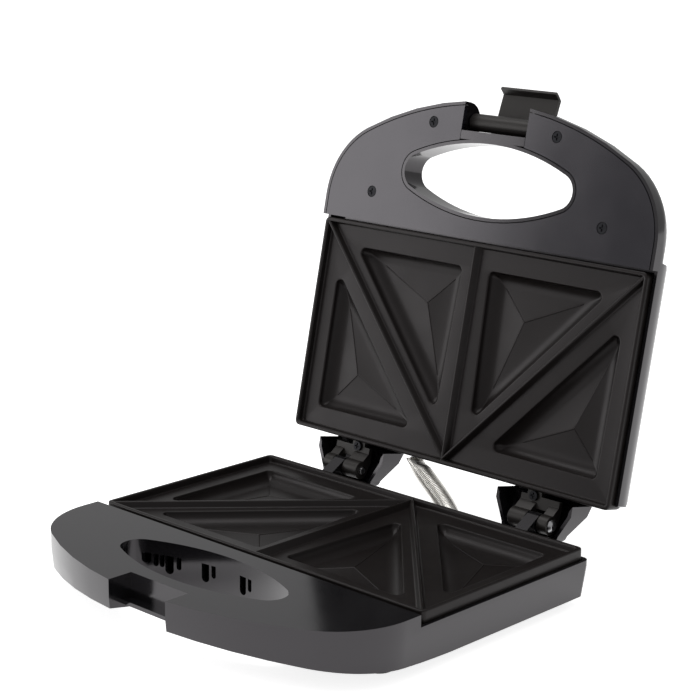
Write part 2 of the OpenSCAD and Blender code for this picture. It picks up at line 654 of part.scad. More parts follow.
// Ventilation slots in the bottom cover
floor_slots = 6;
slot_mid = 40;
slot_w = 44;
slot_t = 3;
slot_from = 0.2 * plate_d;
slot_step = 0.1 * plate_d;
module base_bottom_cover() color(casing_c) base_at() difference() {
  intersection() {
    hull() {
      translate([0, 0, -9]) linear_extrude(1) outline(wall + fit);
      translate([0, 0, -base_h]) linear_extrude(0.5) outline(wall + base_draft + fit);
    }
    along_x(2 * half_w) difference() {
      base_profile(0);
      translate([0, cover_t]) base_profile(0);
      translate([front_y - 2, -base_h - 1]) square([2, base_h + 2]);
    }
  }
  translate([0, oval_y, -base_h - 1]) linear_extrude(base_h) oval(oval_w, oval_d, tube_t + fit);
  translate([-notch_w - wall - fit, front_y - 1, -base_h - 1])
    cube([2 * (notch_w + wall + fit), -notch_set + wall + fit - front_y + 1, base_h]);
  for (k = [0:floor_slots - 1], s = [-1, 1])
    translate([s * slot_mid - slot_w / 2, slot_from + k * slot_step, -base_h - 1])
      cube([slot_w, slot_t, cover_t + 2]);
  at_cover_screws() translate([0, 0, -base_h - 1]) cylinder(r = screw_r + 0.3, h = base_h);
  for (p = cover_screw_points, s = [-1, 1]) translate([s * p[0], p[1], floor_z(p[1]) - 1])
    cylinder(r = head_r + 0.3, h = 1.8);
  for (s = [-1, 1], y = [-foot_front, plate_d - foot_rear]) translate([s * foot_x, y, -base_h - 1])
    cylinder(r = stem_r + 0.1, h = cover_t + stem_room);
}
module base_cover_screws() color(dark_steel_c) base_at()
  for (p = cover_screw_points, s = [-1, 1]) translate([s * p[0], p[1], floor_z(p[1]) + 0.8]) screw(screw_len);

// Rubber foot with a stem that plugs into the bottom cover
module foot(s, y) color(rubber_c) base_at() translate([s * foot_x, y, floor_z(y)]) {
  foot_len = foot_h + base_h + floor_z(y);
  difference() {
    union() {
      translate([0, 0, -foot_len]) cylinder(r1 = foot_r - 0.8, r2 = foot_r, h = 1.2);
      translate([0, 0, -foot_len + 1.2]) cylinder(r = foot_r, h = foot_len - 1.8);
    }
    translate([0, 0, -foot_len - 1]) cylinder(r = 3.4, h = 2.6);
  }
  translate([0, 0, -0.7]) cylinder(r = stem_r, h = cover_t + 1.2);
  translate([0, 0, cover_t + 0.4]) cylinder(r1 = stem_r + 0.8, r2 = stem_r - 0.6, h = 1.6);
}
module foot_front_left() foot(-1, -foot_front);
module foot_front_right() foot(1, -foot_front);
module foot_rear_left() foot(-1, plate_d - foot_rear);
module foot_rear_right() foot(1, plate_d - foot_rear);

module lower_plate() color(plate_c) base_at() cooking_plate();
module lower_heating_element() color(dark_steel_c) base_at() heating_element();
module lower_reflector() color(sheet_c) base_at() reflector();
module lower_plate_screws() color(steel_c) base_at() plate_screws();

block_y = plate_d - 13;
block_x = 62;
block_pitch = 8;
block_d = 9;
block_h = 7.5;
module terminal_block() color(bakelite_c) base_at() difference() {
  translate([-block_x - 1.5 * block_pitch, block_y, -base_h + cover_t + 0.1])
    cube([3 * block_pitch, block_d, block_h]);
  for (i = [-1:1]) let (x = -block_x + block_pitch * i) {
    y_rod(1.3, x, block_y - 1, block_y + block_d + 1, -base_h + cover_t + 3.4);
    translate([x, block_y + block_d / 2, -base_h + cover_t + 5]) cylinder(r = 1.6, h = block_h);
  }
}
module cord_inlet_bush() color(rubber_c) base_at() difference() {
  union() {
    y_rod(gland_r - 0.1, inlet_x, rear_y - wall - 0.3, rear_y + 0.9, inlet_z);
    y_rod(gland_r + 1.6, inlet_x, rear_y + 0.9, rear_y + 2.6, inlet_z);
  }
  y_rod(inlet_r, inlet_x, rear_y - wall - 3, rear_y + 4, inlet_z);
}
clamp_y = plate_d - 12;
module cord_clamp() color(bakelite_c) base_at() difference() {
  translate([inlet_x - 9, clamp_y, -base_h + cover_t + 0.1]) cube([18, 6, 6.2]);
  y_rod(inlet_r - 0.4, inlet_x, clamp_y - 1, clamp_y + 7, inlet_z - 0.6);
  for (s = [-1, 1]) translate([inlet_x + 6.6 * s, clamp_y + 3, -base_h]) cylinder(r = pilot_r + 0.1, h = 12);
}
module cord_clamp_screws() color(steel_c) base_at() for (s = [-1, 1])
  translate([inlet_x + 6.6 * s, clamp_y + 3, -base_h + cover_t + 6.3]) mirror([0, 0, 1])
    screw(5.8, shank_r, 2.2, 1.4, 0.7);

// ---------------------------------------------------------------- wire guard spring

// Route of the spring's axis: a cubic curve, square to the floors of both seats
function route(u) = pow(1 - u, 3) * spring_from
  + 3 * u * pow(1 - u, 2) * (spring_from + spring_pull * base_dir)
  + 3 * pow(u, 2) * (1 - u) * (spring_to + spring_pull * lid_dir) + pow(u, 3) * spring_to;
function route_dir(u) = let (e = 0.001, d = route(min(u + e, 1)) - route(max(u - e, 0))) d / norm(d);
function lift(u) = unit(cross(route_dir(u), [0.6, 0.2, 0.8]));
function side(u) = cross(route_dir(u), lift(u));
coil_r = spring_r - wire_r;
curl_steps = 8;
wire_sides = 6;
coil_u0 = 0.035;
function coil_point(k, n) = let (u = coil_u0 + (1 - 2 * coil_u0) * k / n, a = 360 * k / curl_steps)
  route(u) + coil_r * (cos(a) * lift(u) + sin(a) * side(u));
coil_n = curls * curl_steps;
// The wire's centre line: a straight end, the curls, a straight end
wire_line = concat(
  [spring_from + coil_r * lift(0)],
  [spring_from + coil_r * lift(0) + 2 * wire_r * route_dir(0)],
  [for (k = [1:coil_n - 1]) coil_point(k, coil_n)],
  [spring_to + coil_r * lift(1) - 2 * wire_r * route_dir(1)],
  [spring_to + coil_r * lift(1)]
);
wire_n = len(wire_line);
function wire_dir(i) = i <= 1 ? route_dir(0) : i >= wire_n - 2 ? route_dir(1)
  : unit(wire_line[i + 1] - wire_line[i - 1]);
// Section frame of the wire: one axis points away from the coil's own axis
function wire_u(i) = i <= 1 ? 0 : i >= wire_n - 2 ? 1 : coil_u0 + (1 - 2 * coil_u0) * (i - 1) / coil_n;
function wire_out(i) = let (d = wire_dir(i), o = wire_line[i] - route(wire_u(i))) unit(o - (o * d) * d);
module tube_mesh(line, dirs, outs, r, sides) {
  n = len(line);
  pts = [for (i = [0:n - 1]) let (w = cross(dirs[i], outs[i]))
    for (k = [0:sides - 1]) line[i] + r * (cos(360 * k / sides) * outs[i] + sin(360 * k / sides) * w)];
  faces = [
    for (k = [1:sides - 2]) [0, k, k + 1],
    for (i = [0:n - 2], k = [0:sides - 1]) let (a = i * sides + k, b = i * sides + (k + 1) % sides)
      [a, b + sides, b],
    for (i = [0:n - 2], k = [0:sides - 1]) let (a = i * sides + k, b = i * sides + (k + 1) % sides)
      [a, a + sides, b + sides],
    for (k = [1:sides - 2]) [(n - 1) * sides, (n - 1) * sides + k + 1, (n - 1) * sides + k]
  ];
  polyhedron(pts, faces, convexity = 8);
}
// Least distance between wire points one curl and more apart, less the wire itself
self_gap = min([for (i = [2:wire_n - 3 - curl_steps]) each
  [for (j = [i + curl_steps - 2:min(i + curl_steps + 2, wire_n - 2)])
    norm(wire_line[i] - wire_line[j])]]) - 2 * wire_r;
echo(spring_self_gap_mm = self_gap);
module wire_guard_spring() color(steel_c) base_at()
  tube_mesh(wire_line, [for (i = [0:wire_n - 1]) wire_dir(i)],
    [for (i = [0:wire_n - 1]) wire_out(i)], wire_r, wire_sides);

sleeve_rings = 24;
sleeve_line = concat([base_wall_point - 0.6 * base_dir],
  [for (k = [0:sleeve_rings]) route(k / sleeve_rings)], [lid_wall_point - 0.3 * lid_dir]);
sleeve_dirs = concat([route_dir(0)], [for (k = [0:sleeve_rings]) route_dir(k / sleeve_rings)],
  [route_dir(1)]);
sleeve_outs = concat([lift(0)], [for (k = [0:sleeve_rings]) lift(k / sleeve_rings)], [lift(1)]);
module wiring_sleeve() color(bakelite_c) base_at()
  tube_mesh(sleeve_line, sleeve_dirs, sleeve_outs, sleeve_r, 10);

// ---------------------------------------------------------------- lid casing

shoulder_steps = 6;
grip_steps = 5;
body_front = -deck_gap - wall;
recess_back = -(pivot_set - barrel_r - 0.5);
strip_front = 10 - pivot_set;
axis_up = hinge_z - seam;
cover_fit = skin + cover_gap;
grip_screw_points = [[42, front_y + 14.4], [corner_x + 10.7, corner_y - 5]];
module at_grip_screws() for (p = grip_screw_points, s = [-1, 1]) translate([s * p[0], p[1], 0]) children();

module body_slice(inset) intersection() {
  outline(inset);
  translate([-half_w, body_front + inset]) square([2 * half_w, rear_y]);
}
// Deeper part of the lid over the plates: upright rim, elliptic shoulder, low crown
module body_form(t, low) hull() {
  translate([0, 0, low]) linear_extrude(lid_wall_h - low) body_slice(t);
  for (k = [1:shoulder_steps]) let (a = 90 * k / shoulder_steps)
    translate([0, 0, lid_wall_h + (shoulder_h - t) * sin(a)]) linear_extrude(0.02)
      body_slice(t + shoulder_in * (1 - cos(a)));
  translate([0, 0, lid_top - t - 0.02]) linear_extrude(0.02) body_slice(t + shoulder_in + 12);
}
module grip_slice(inset, back) intersection() {
  outline(inset);
  translate([-half_w, front_y]) square([2 * half_w, back - front_y]);
}
// Thinner handle part of the lid, round the oval
module grip_form(t, low, back) hull() {
  translate([0, 0, low]) linear_extrude(grip_h - grip_round - low) grip_slice(t, back);
  for (k = [1:grip_steps]) let (a = 90 * k / grip_steps)
    translate([0, 0, grip_h - grip_round + (grip_round - t) * sin(a)]) linear_extrude(0.02)
      grip_slice(t + grip_round * (1 - cos(a)), back);
}

arm_top = 17.5;
arm_tip_top = 8;
arm_in = 9;
arm_tip_y = hinge_y + arm_r;
// Hinge arm behind the lid, tapering towards its tip
module arm_form(t, y0, low) intersection() {
  translate([arm_mid, 0, 0]) along_x(2 * arm_root) union() {
    polygon([[y0, low], [arm_tip_y - t, low], [arm_tip_y - t, arm_tip_top - 4],
      [arm_tip_y - 4, arm_tip_top - t],
      [rear_y, arm_top - t], [y0, arm_top - t]]);
    translate([arm_tip_y - 4, arm_tip_top - 4]) circle(4 - t, $fn = 32);
  }
  translate([0, 0, low]) linear_extrude(arm_top - low) translate([arm_mid, 0]) for (m = [0, 1]) mirror([m, 0])
    polygon(concat([[0, y0], [arm_root - t, y0]],
      t > 0 ? [] : [[arm_root + root_r, y0], [arm_root + root_r, rear_y]],
      [for (a = [260:-20:180]) [arm_root + root_r, rear_y + root_r] + (root_r + t) * [cos(a), sin(a)]],
      [for (a = [0:30:90]) [arm_tip - tip_r, arm_tip_y - tip_r] + (tip_r - t) * [cos(a), sin(a)]],
      [[0, arm_tip_y - t]]));
}
root_r = 6;
tip_r = 4;
bracket_screw = [lug_in - 2.5, rear_y + 0.6];
fork_z = 3.2;
fork_t = 2.6;

module lid_shell() color(casing_c) lid_at() lid_up() difference() {
  union() {
    difference() {
      union() {
        difference() {
          union() {
            grip_form(0, 0, 6);
            body_form(0, 0);
          }
          translate([-half_w - 1, -lid_gap, -1]) cube([2 * half_w + 2, rear_y + lid_gap + 1, lid_step + 1]);
        }
        for (m = [0, 1]) mirror([m, 0, 0]) arm_form(0, rear_y - arm_in, 0);
      }
      difference() {
        union() {
          grip_form(skin, -1, body_front);
          body_form(skin, -1);
        }
        // shelf over the upper plate
        translate([-half_w, -deck_gap - 1, shelf_z]) difference() {
          cube([2 * half_w, rear_y + deck_gap + 2, shelf_t]);
          translate([half_w - plate_w / 2 + shelf_in, deck_gap + 1 + shelf_in, -1])
            cube([plate_w - 2 * shelf_in, plate_d - 2 * shelf_in + 6, shelf_t + 2]);
        }
      }
      for (m = [0, 1]) mirror([m, 0, 0]) arm_form(arm_t, rear_y - wall - 0.4, -1);
      // room for the plate's skirt and seat for the inner cover
      translate([-plate_w / 2 - 0.5, -lid_gap, -1])
        cube([plate_w + 1, plate_d + lid_gap + 0.5, shelf_z + 1]);
      translate([0, 0, -1]) linear_extrude(1.1 + inner_cover_t) cover_plan(cover_fit - cover_gap, cover_gap);
    }
    intersection() {
      grip_form(0, 0, 6);
      union() {
        translate([0, oval_y, 0]) linear_extrude(grip_h) oval(lid_oval_w, oval_d, tube_t);
        at_grip_screws() translate([0, 0, inner_cover_t + 0.1]) cylinder(r = 3.6, h = grip_h);
        translate([-recess_w - wall, front_y - 1, inner_cover_t + 0.1])
          cube([2 * (recess_w + wall), recess_back + wall - front_y + 1, grip_h]);
        translate([-recess_w + fit, recess_back, 0])
          cube([2 * (recess_w - fit), strip_front - recess_back, wall + 1]);
      }
    }
    for (m = [0, 1]) mirror([m, 0, 0]) intersection() {
      arm_form(0, rear_y - 3, 0);
      translate([bracket_screw[0], bracket_screw[1], fork_z + fork_t + 0.05]) cylinder(r = 3, h = 20);
    }
  }
  translate([0, oval_y, -1]) linear_extrude(grip_h + 3) oval(lid_oval_w, oval_d);
  translate([-recess_w, front_y - 2, -1]) cube([2 * recess_w, recess_back - front_y + 2, grip_h + 3]);
  x_rod(latch_pin_r, -recess_w - wall - 1, recess_w + wall + 1, -pivot_set, pivot_h);
  at_grip_screws() translate([0, 0, inner_cover_t - 1]) cylinder(r = pilot_r, h = 9);
  for (s = [-1, 1]) translate([s * bracket_screw[0], bracket_screw[1], fork_z + fork_t - 1])
    cylinder(r = pilot_r, h = 7);
  lid_seat_rod(sleeve_r + 0.6, -arm_in - 3, 8);
  at_lenses() translate([0, 0, grip_h - skin - 1]) cylinder(r = lens_r + 0.1, h = skin + 2);
}

// Plan of the handle's inner cover
module cover_plan(inset, overlap) intersection() {
  outline(inset);
  translate([-half_w, front_y]) square([2 * half_w, -lid_gap + overlap - front_y]);
}
module handle_cover() color(inner_cover_c) lid_at() lid_up() difference() {
  linear_extrude(inner_cover_t) difference() {
    cover_plan(cover_fit, 0);
    translate([0, oval_y]) oval(lid_oval_w, oval_d, tube_t + cover_gap);
    translate([-recess_w, front_y]) square([2 * recess_w, strip_front + cover_gap - front_y]);
  }
  at_grip_screws() {
    translate([0, 0, -1]) cylinder(r = head_r + 0.3, h = 2.2);
    translate([0, 0, -1]) cylinder(r = screw_r + 0.2, h = inner_cover_t + 2);
  }
}
module handle_cover_screws() color(dark_steel_c) lid_at() lid_up()
  at_grip_screws() translate([0, 0, 1.2]) screw(screw_len, shank_r, head_r, 1.1, 0.7);

module upper_plate() color(plate_c) lid_at() lid_up() mirror([0, 0, 1]) cooking_plate();
module upper_heating_element() color(dark_steel_c) lid_at() lid_up() mirror([0, 0, 1]) heating_element();
module upper_reflector() color(sheet_c) lid_at() lid_up() mirror([0, 0, 1]) reflector();
module upper_plate_screws() color(steel_c) lid_at() lid_up() mirror([0, 0, 1]) plate_screws();

back_z = tray_z + sheet_t + 0.1;
module thermostat() color(steel_c) lid_at() lid_up() translate([0, plate_d / 2 + 1.5, back_z]) difference() {
  union() {
    cylinder(r = 8, h = 3);
    translate([-13, -3, 0]) cube([26, 6, 1]);
  }
  for (s = [-1, 1]) translate([s * 11, 0, -1]) cylinder(r = 1.2, h = 3);
}
fuse_y = plate_d / 2 + 15.5;
fuse_x = 34;
fuse_r = 1.6;
fuse_len = 12;
fuse_lead = 6;
module thermal_fuse() color(steel_c) lid_at() lid_up()
  translate([fuse_x - fuse_len / 2, 0, back_z + fuse_r + 0.1]) {
    x_rod(fuse_r, 0, fuse_len, fuse_y, 0);
    x_rod(0.5, -fuse_lead, fuse_len + fuse_lead, fuse_y, 0);
  }

lens_x = half_w - 37.4;
lens_rows = [-30, -42];
module at_lenses(rows = lens_rows) for (y = rows) translate([lens_x, y, 0]) children();
module lamp_lens(y) at_lenses([y]) {
  translate([0, 0, grip_h - skin - 1.2]) cylinder(r = lens_r + 1.2, h = 1.1);
  translate([0, 0, grip_h - skin - 0.2]) cylinder(r = lens_r, h = skin + 0.9);
}
module power_lamp_lens() color([0.75, 0.08, 0.05]) lid_at() lid_up() lamp_lens(lens_rows[0]);
module ready_lamp_lens() color([0.1, 0.6, 0.15]) lid_at() lid_up() lamp_lens(lens_rows[1]);
module lamp_holder() color(bakelite_c) lid_at() lid_up() difference() {
  translate([lens_x - 5, lens_rows[1] - 5, inner_cover_t + 0.1])
    cube([10, lens_rows[0] - lens_rows[1] + 10, 3.2]);
  at_lenses() translate([0, 0, inner_cover_t + 1.2]) cylinder(r = 2.2, h = 4);
}
module neon(y) at_lenses([y]) translate([0, 0, inner_cover_t + 1.3]) {
  cylinder(r = 2.1, h = 6);
  translate([0, 0, 6]) sphere(r = 2.1, $fn = 24);
}
module power_lamp() color([0.9, 0.6, 0.4]) lid_at() lid_up() neon(lens_rows[0]);
module ready_lamp() color([0.9, 0.6, 0.4]) lid_at() lid_up() neon(lens_rows[1]);

// ---------------------------------------------------------------- hinges

// Fork screwed inside a lid arm: two knuckles joined by a bridge over the base knuckle
module fork() difference() {
  union() {
    x_rod(knuckle_r, inner_end, lug_in - side_play, hinge_y, axis_up);
    x_rod(knuckle_r, lug_out + side_play, outer_end, hinge_y, axis_up);
    for (x = [[inner_end, lug_in - side_play], [lug_out + side_play, outer_end]])
      translate([(x[0] + x[1]) / 2, 0, 0]) along_x(x[1] - x[0]) polygon([
        [rear_y + 3.6, fork_z], [rear_y + 3.6, fork_z + fork_t], [hinge_y - 4, fork_z + fork_t],
        [hinge_y + 1, axis_up + knuckle_r - 0.2], [hinge_y, axis_up], [hinge_y - knuckle_r, axis_up]]);
    translate([inner_end, rear_y + 0.4, fork_z]) cube([outer_end - inner_end, 6.6, fork_t]);
    translate([bracket_screw[0] - 4.6, rear_y - wall - 0.1, fork_z]) cube([9.2, wall + 1, fork_t]);
  }
  x_rod(pin_r, inner_end - 1, outer_end + 1, hinge_y, axis_up);
  translate([bracket_screw[0], bracket_screw[1], fork_z - 1]) cylinder(r = screw_r + 0.1, h = fork_t + 2);
}
// Hinge pin with a domed button on its outer end
module hinge_pin() {
  x_rod(pin_r, inner_end - 1.2, outer_end + 0.1, hinge_y, axis_up);
  translate([outer_end + 0.1, hinge_y, axis_up]) rotate([0, 90, 0]) cylinder(r1 = 3.6, r2 = 2.2, h = 1.7);
}
module hinge_bracket_right() color(latch_c) lid_at() lid_up() fork();
module hinge_bracket_left() color(latch_c) lid_at() lid_up() mirror([1, 0, 0]) fork();
module hinge_pin_right() color(steel_c) lid_at() lid_up() hinge_pin();
module hinge_pin_left() color(steel_c) lid_at() lid_up() mirror([1, 0, 0]) hinge_pin();
module hinge_bracket_screws() color(dark_steel_c) lid_at() lid_up()
  for (s = [-1, 1]) translate([s * bracket_screw[0], bracket_screw[1], fork_z - 0.05])
    screw(screw_len, shank_r, 2.6, 1.2, 0.7);

// ---------------------------------------------------------------- latch

module latch_pin() color(steel_c) lid_at() lid_up()
  x_rod(latch_pin_r, -recess_w - wall + 0.2, recess_w + wall - 0.2, -pivot_set, pivot_h);

// Latch in its own frame: pivot at the origin, plate below it, hook at the +Y end
module latch_section() {
  rotate(latch_lean) {
    polygon([[hook_run, -latch_off], [-latch_tail, -latch_off], [-latch_tail - 0.6, -latch_off - latch_t],
      [hook_run_out, -latch_off - latch_t]]);
    translate([-2.4, -latch_off - 0.5]) square([2.8, latch_off + 0.5]);
  }
  a0 = lip_tip - lip_span - 4;
  intersection() {
    difference() {
      circle(hook_r + hook_t);
      circle(hook_r);
    }
    polygon([[0, 0], 40 * [sin(a0), -cos(a0)], 40 * [sin(lip_tip), -cos(lip_tip)]]);
  }
}
latch_tail = 5;
module latch() color(latch_c) lid_at() lid_up() translate([0, -pivot_set, pivot_h])
  rotate([-latch_swing, 0, 0]) difference() {
    union() {
      x_rod(barrel_r, -barrel_w, barrel_w, 0, 0);
      along_x(2 * latch_w) latch_section();
    }
    x_rod(latch_pin_r + run_gap, -barrel_w - 1, barrel_w + 1, 0, 0);
  }

base_housing();
base_bottom_cover();
base_cover_screws();
foot_front_left();
foot_front_right();
foot_rear_left();
foot_rear_right();
lower_plate();
lower_heating_element();
lower_reflector();
lower_plate_screws();
terminal_block();
cord_inlet_bush();
cord_clamp();
cord_clamp_screws();
wire_guard_spring();
wiring_sleeve();
lid_shell();
handle_cover();
handle_cover_screws();
upper_plate();
upper_heating_element();
upper_reflector();
upper_plate_screws();
thermostat();
thermal_fuse();
lamp_holder();
power_lamp_lens();
ready_lamp_lens();
power_lamp();
ready_lamp();
hinge_bracket_left();
hinge_bracket_right();
hinge_bracket_screws();
hinge_pin_left();
hinge_pin_right();
latch_pin();
latch();
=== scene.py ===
"""Sandwich toaster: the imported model's looks, laid out as an add-on and run as a script."""

import json
import math

import bpy
import bmesh
from bpy.props import FloatProperty, FloatVectorProperty, IntProperty, PointerProperty
from mathutils import Matrix, Vector
from mathutils.geometry import delaunay_2d_cdt


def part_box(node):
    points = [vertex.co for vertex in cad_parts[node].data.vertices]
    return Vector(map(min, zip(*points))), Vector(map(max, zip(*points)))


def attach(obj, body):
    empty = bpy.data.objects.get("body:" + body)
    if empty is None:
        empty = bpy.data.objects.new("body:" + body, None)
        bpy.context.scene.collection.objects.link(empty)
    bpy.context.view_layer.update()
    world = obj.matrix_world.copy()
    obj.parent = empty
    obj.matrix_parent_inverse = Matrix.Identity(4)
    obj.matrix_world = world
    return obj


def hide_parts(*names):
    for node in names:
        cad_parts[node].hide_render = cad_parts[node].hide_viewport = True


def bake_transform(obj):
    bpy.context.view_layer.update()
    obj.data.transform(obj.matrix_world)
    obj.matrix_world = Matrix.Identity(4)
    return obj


bl_info = {
    "name": "Sandwich toaster",
    "version": (1, 0),
    "blender": (4, 5, 0),
    "location": "3D View > Sidebar > Toaster",
    "description": "Finishes and small pieces of a two-slice sandwich toaster",
    "category": "Object",
}

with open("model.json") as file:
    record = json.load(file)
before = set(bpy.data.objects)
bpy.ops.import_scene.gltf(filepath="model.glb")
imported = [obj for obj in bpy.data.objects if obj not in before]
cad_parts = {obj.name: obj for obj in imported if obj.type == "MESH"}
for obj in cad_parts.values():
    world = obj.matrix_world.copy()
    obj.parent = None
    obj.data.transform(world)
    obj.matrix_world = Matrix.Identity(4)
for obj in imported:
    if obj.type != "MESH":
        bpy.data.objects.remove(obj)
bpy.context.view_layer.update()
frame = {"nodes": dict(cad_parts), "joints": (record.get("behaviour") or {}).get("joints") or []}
MM = 0.001

# The plates' front edge and rim give the drawing's own zero: X middle, Y front edge, Z rim.
PLATE_LOW, PLATE_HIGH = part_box("lower_plate")
ZERO = Vector((0.0, PLATE_LOW.y, PLATE_HIGH.z))
HINGE = next(j for j in frame["joints"] if j["name"] == "lid_hinge")
AXIS = Vector(HINGE["pos_m"])
OPEN_ANGLE = math.radians(HINGE["range_deg"][1])
SEAM = 0.4 * MM
MICRO = 0.001 * MM


def at(x, y, z):
    """A point given in millimetres from the lower plate's front edge and rim."""
    return ZERO + Vector((x, y, z)) * MM


def open_matrix():
    """Turns a piece drawn on the shut lid to where the open lid is."""
    swing = Matrix.Rotation(-OPEN_ANGLE, 4, "X")
    return Matrix.Translation(AXIS) @ swing @ Matrix.Translation(-AXIS)


def at_lid(x, y, z):
    """A point in millimetres, up from the shut lid's parting face, where the open lid has it."""
    return open_matrix() @ (at(x, y, z) + Vector((0, 0, SEAM)))


# ---------------------------------------------------------------- materials


# Most of a noise texture's values lie between these two.
NOISE_LOW, NOISE_HIGH = 0.3, 0.7


class Nodes:
    """A small helper that builds one material's nodes."""

    def __init__(self, name):
        self.material = bpy.data.materials.new(name)
        self.material.use_nodes = True
        self.tree = self.material.node_tree
        self.tree.nodes.clear()
        self.out = self.tree.nodes.new("ShaderNodeOutputMaterial")
        self.shader = self.tree.nodes.new("ShaderNodeBsdfPrincipled")
        self.link(self.shader.outputs[0], self.out.inputs["Surface"])
        self.place = self.tree.nodes.new("ShaderNodeTexCoord").outputs["Object"]

    def link(self, a, b):
        self.tree.links.new(a, b)

    def add(self, kind, **values):
        node = self.tree.nodes.new(kind)
        for key, value in values.items():
            if key in node.inputs:
                node.inputs[key].default_value = value
            else:
                setattr(node, key, value)
        return node

    def noise(self, scale, detail=3.0, stretch=None):
        node = self.add("ShaderNodeTexNoise", Scale=scale, Detail=detail, Roughness=0.5)
        source = self.place
        if stretch:
            mapping = self.add("ShaderNodeMapping")
            mapping.inputs["Scale"].default_value = stretch
            self.link(source, mapping.inputs["Vector"])
            source = mapping.outputs[0]
        self.link(source, node.inputs["Vector"])
        return node.outputs["Fac"]

    def ramp(self, source, low, high, start=NOISE_LOW, end=NOISE_HIGH):
        """Turns a grey value between start and end into a colour between low and high."""
        node = self.add("ShaderNodeValToRGB")
        node.color_ramp.elements[0].position = start
        node.color_ramp.elements[1].position = end
        node.color_ramp.elements[0].color = (*low, 1)
        node.color_ramp.elements[1].color = (*high, 1)
        self.link(source, node.inputs["Fac"])
        return node.outputs["Color"]

    def span(self, source, low, high):
        """Turns a noise's usual range into a number between low and high."""
        node = self.add("ShaderNodeMapRange")
        node.inputs["From Min"].default_value = NOISE_LOW
        node.inputs["From Max"].default_value = NOISE_HIGH
        node.inputs["To Min"].default_value = low
        node.inputs["To Max"].default_value = high
        self.link(source, node.inputs["Value"])
        return node.outputs["Result"]

    def bump(self, source, strength, distance):
        node = self.add("ShaderNodeBump", Strength=strength, Distance=distance)
        self.link(source, node.inputs["Height"])
        self.link(node.outputs["Normal"], self.shader.inputs["Normal"])

    def seen_ray(self):
        """1 for rays from the camera and for those that gloss and glass send on."""
        path = self.add("ShaderNodeLightPath")
        a = self.add("ShaderNodeMath", operation="MAXIMUM")
        b = self.add("ShaderNodeMath", operation="MAXIMUM")
        self.link(path.outputs["Is Camera Ray"], a.inputs[0])
        self.link(path.outputs["Is Glossy Ray"], a.inputs[1])
        self.link(a.outputs[0], b.inputs[0])
        self.link(path.outputs["Is Transmission Ray"], b.inputs[1])
        return b.outputs[0]

    def set(self, **values):
        for key, value in values.items():
            self.shader.inputs[key.replace("_", " ")].default_value = value


def shade(colour, factor):
    return tuple(c * factor for c in colour)


def moulded_plastic(name, colour, roughness, grain, grain_depth, shine=0.5, tint=(1.0, 0.95, 1.0)):
    """Injection-moulded plastic: a nearly even gloss with faint flow marks and fine grain."""
    n = Nodes(name)
    flow = n.ramp(n.noise(9.0, 2.0), shade(colour, 0.92), shade(colour, 1.08))
    n.link(flow, n.shader.inputs["Base Color"])
    gloss = n.span(n.noise(38.0, 4.0), roughness * 0.85, roughness * 1.15)
    n.link(gloss, n.shader.inputs["Roughness"])
    n.bump(n.noise(grain, 2.0), 0.25, grain_depth)
    n.set(IOR=1.55, Specular_IOR_Level=shine, Specular_Tint=(*tint, 1))
    return n.material


def non_stick_coating(name, colour):
    """Satin non-stick coat on a cast plate: fine orange peel and slow changes of sheen."""
    n = Nodes(name)
    cast = n.ramp(n.noise(16.0, 4.0), shade(colour, 0.88), shade(colour, 1.14))
    n.link(cast, n.shader.inputs["Base Color"])
    n.link(n.span(n.noise(55.0, 5.0), 0.30, 0.38), n.shader.inputs["Roughness"])
    n.bump(n.noise(1900.0, 3.0), 0.35, 40 * MICRO)
    n.set(IOR=1.5, Specular_IOR_Level=0.2, Specular_Tint=(1.0, 0.95, 0.97, 1))
    return n.material


def metal(name, colour, roughness, brushed=None, scale=420.0):
    """Plain metal: one grain changes its colour, roughness and height, stretched where brushed."""
    n = Nodes(name)
    grain = n.noise(scale, 4.0, stretch=brushed)
    n.link(n.ramp(grain, shade(colour, 0.86), shade(colour, 1.08)), n.shader.inputs["Base Color"])
    n.link(n.span(grain, roughness * 0.8, roughness * 1.25), n.shader.inputs["Roughness"])
    n.bump(grain, 0.2, 30 * MICRO)
    n.set(Metallic=1.0)
    return n.material


def rubber(name, colour):
    """Dull rubber with a coarse grain."""
    n = Nodes(name)
    dust = n.ramp(n.noise(70.0, 4.0), shade(colour, 0.8), shade(colour, 1.3))
    n.link(dust, n.shader.inputs["Base Color"])
    n.set(Roughness=0.78)
    n.bump(n.noise(900.0, 2.0), 0.4, 60 * MICRO)
    return n.material


def glass_braid(name, colour):
    """Woven glass sleeve: two crossed waves make the braid."""
    n = Nodes(name)
    wave_a = n.add("ShaderNodeTexWave", Scale=260.0, Distortion=0.4)
    wave_b = n.add("ShaderNodeTexWave", Scale=260.0, Distortion=0.4, bands_direction="DIAGONAL")
    n.link(n.place, wave_a.inputs["Vector"])
    n.link(n.place, wave_b.inputs["Vector"])
    mix = n.add("ShaderNodeMath", operation="MULTIPLY")
    n.link(wave_a.outputs["Fac"], mix.inputs[0])
    n.link(wave_b.outputs["Fac"], mix.inputs[1])
    strands = n.ramp(mix.outputs[0], shade(colour, 0.6), colour, 0.1, 0.6)
    n.link(strands, n.shader.inputs["Base Color"])
    n.set(Roughness=0.7)
    n.bump(mix.outputs[0], 0.5, 0.2 * MM)
    return n.material


def lens_plastic(name, colour):
    """Clear tinted plastic of a lamp or its lens."""
    n = Nodes(name)
    cloud = n.ramp(n.noise(40.0), shade(colour, 0.9), shade(colour, 1.1))
    n.link(cloud, n.shader.inputs["Base Color"])
    n.set(Roughness=0.12, IOR=1.49, Transmission_Weight=0.35)
    return n.material


# ---------------------------------------------------------------- mesh helpers


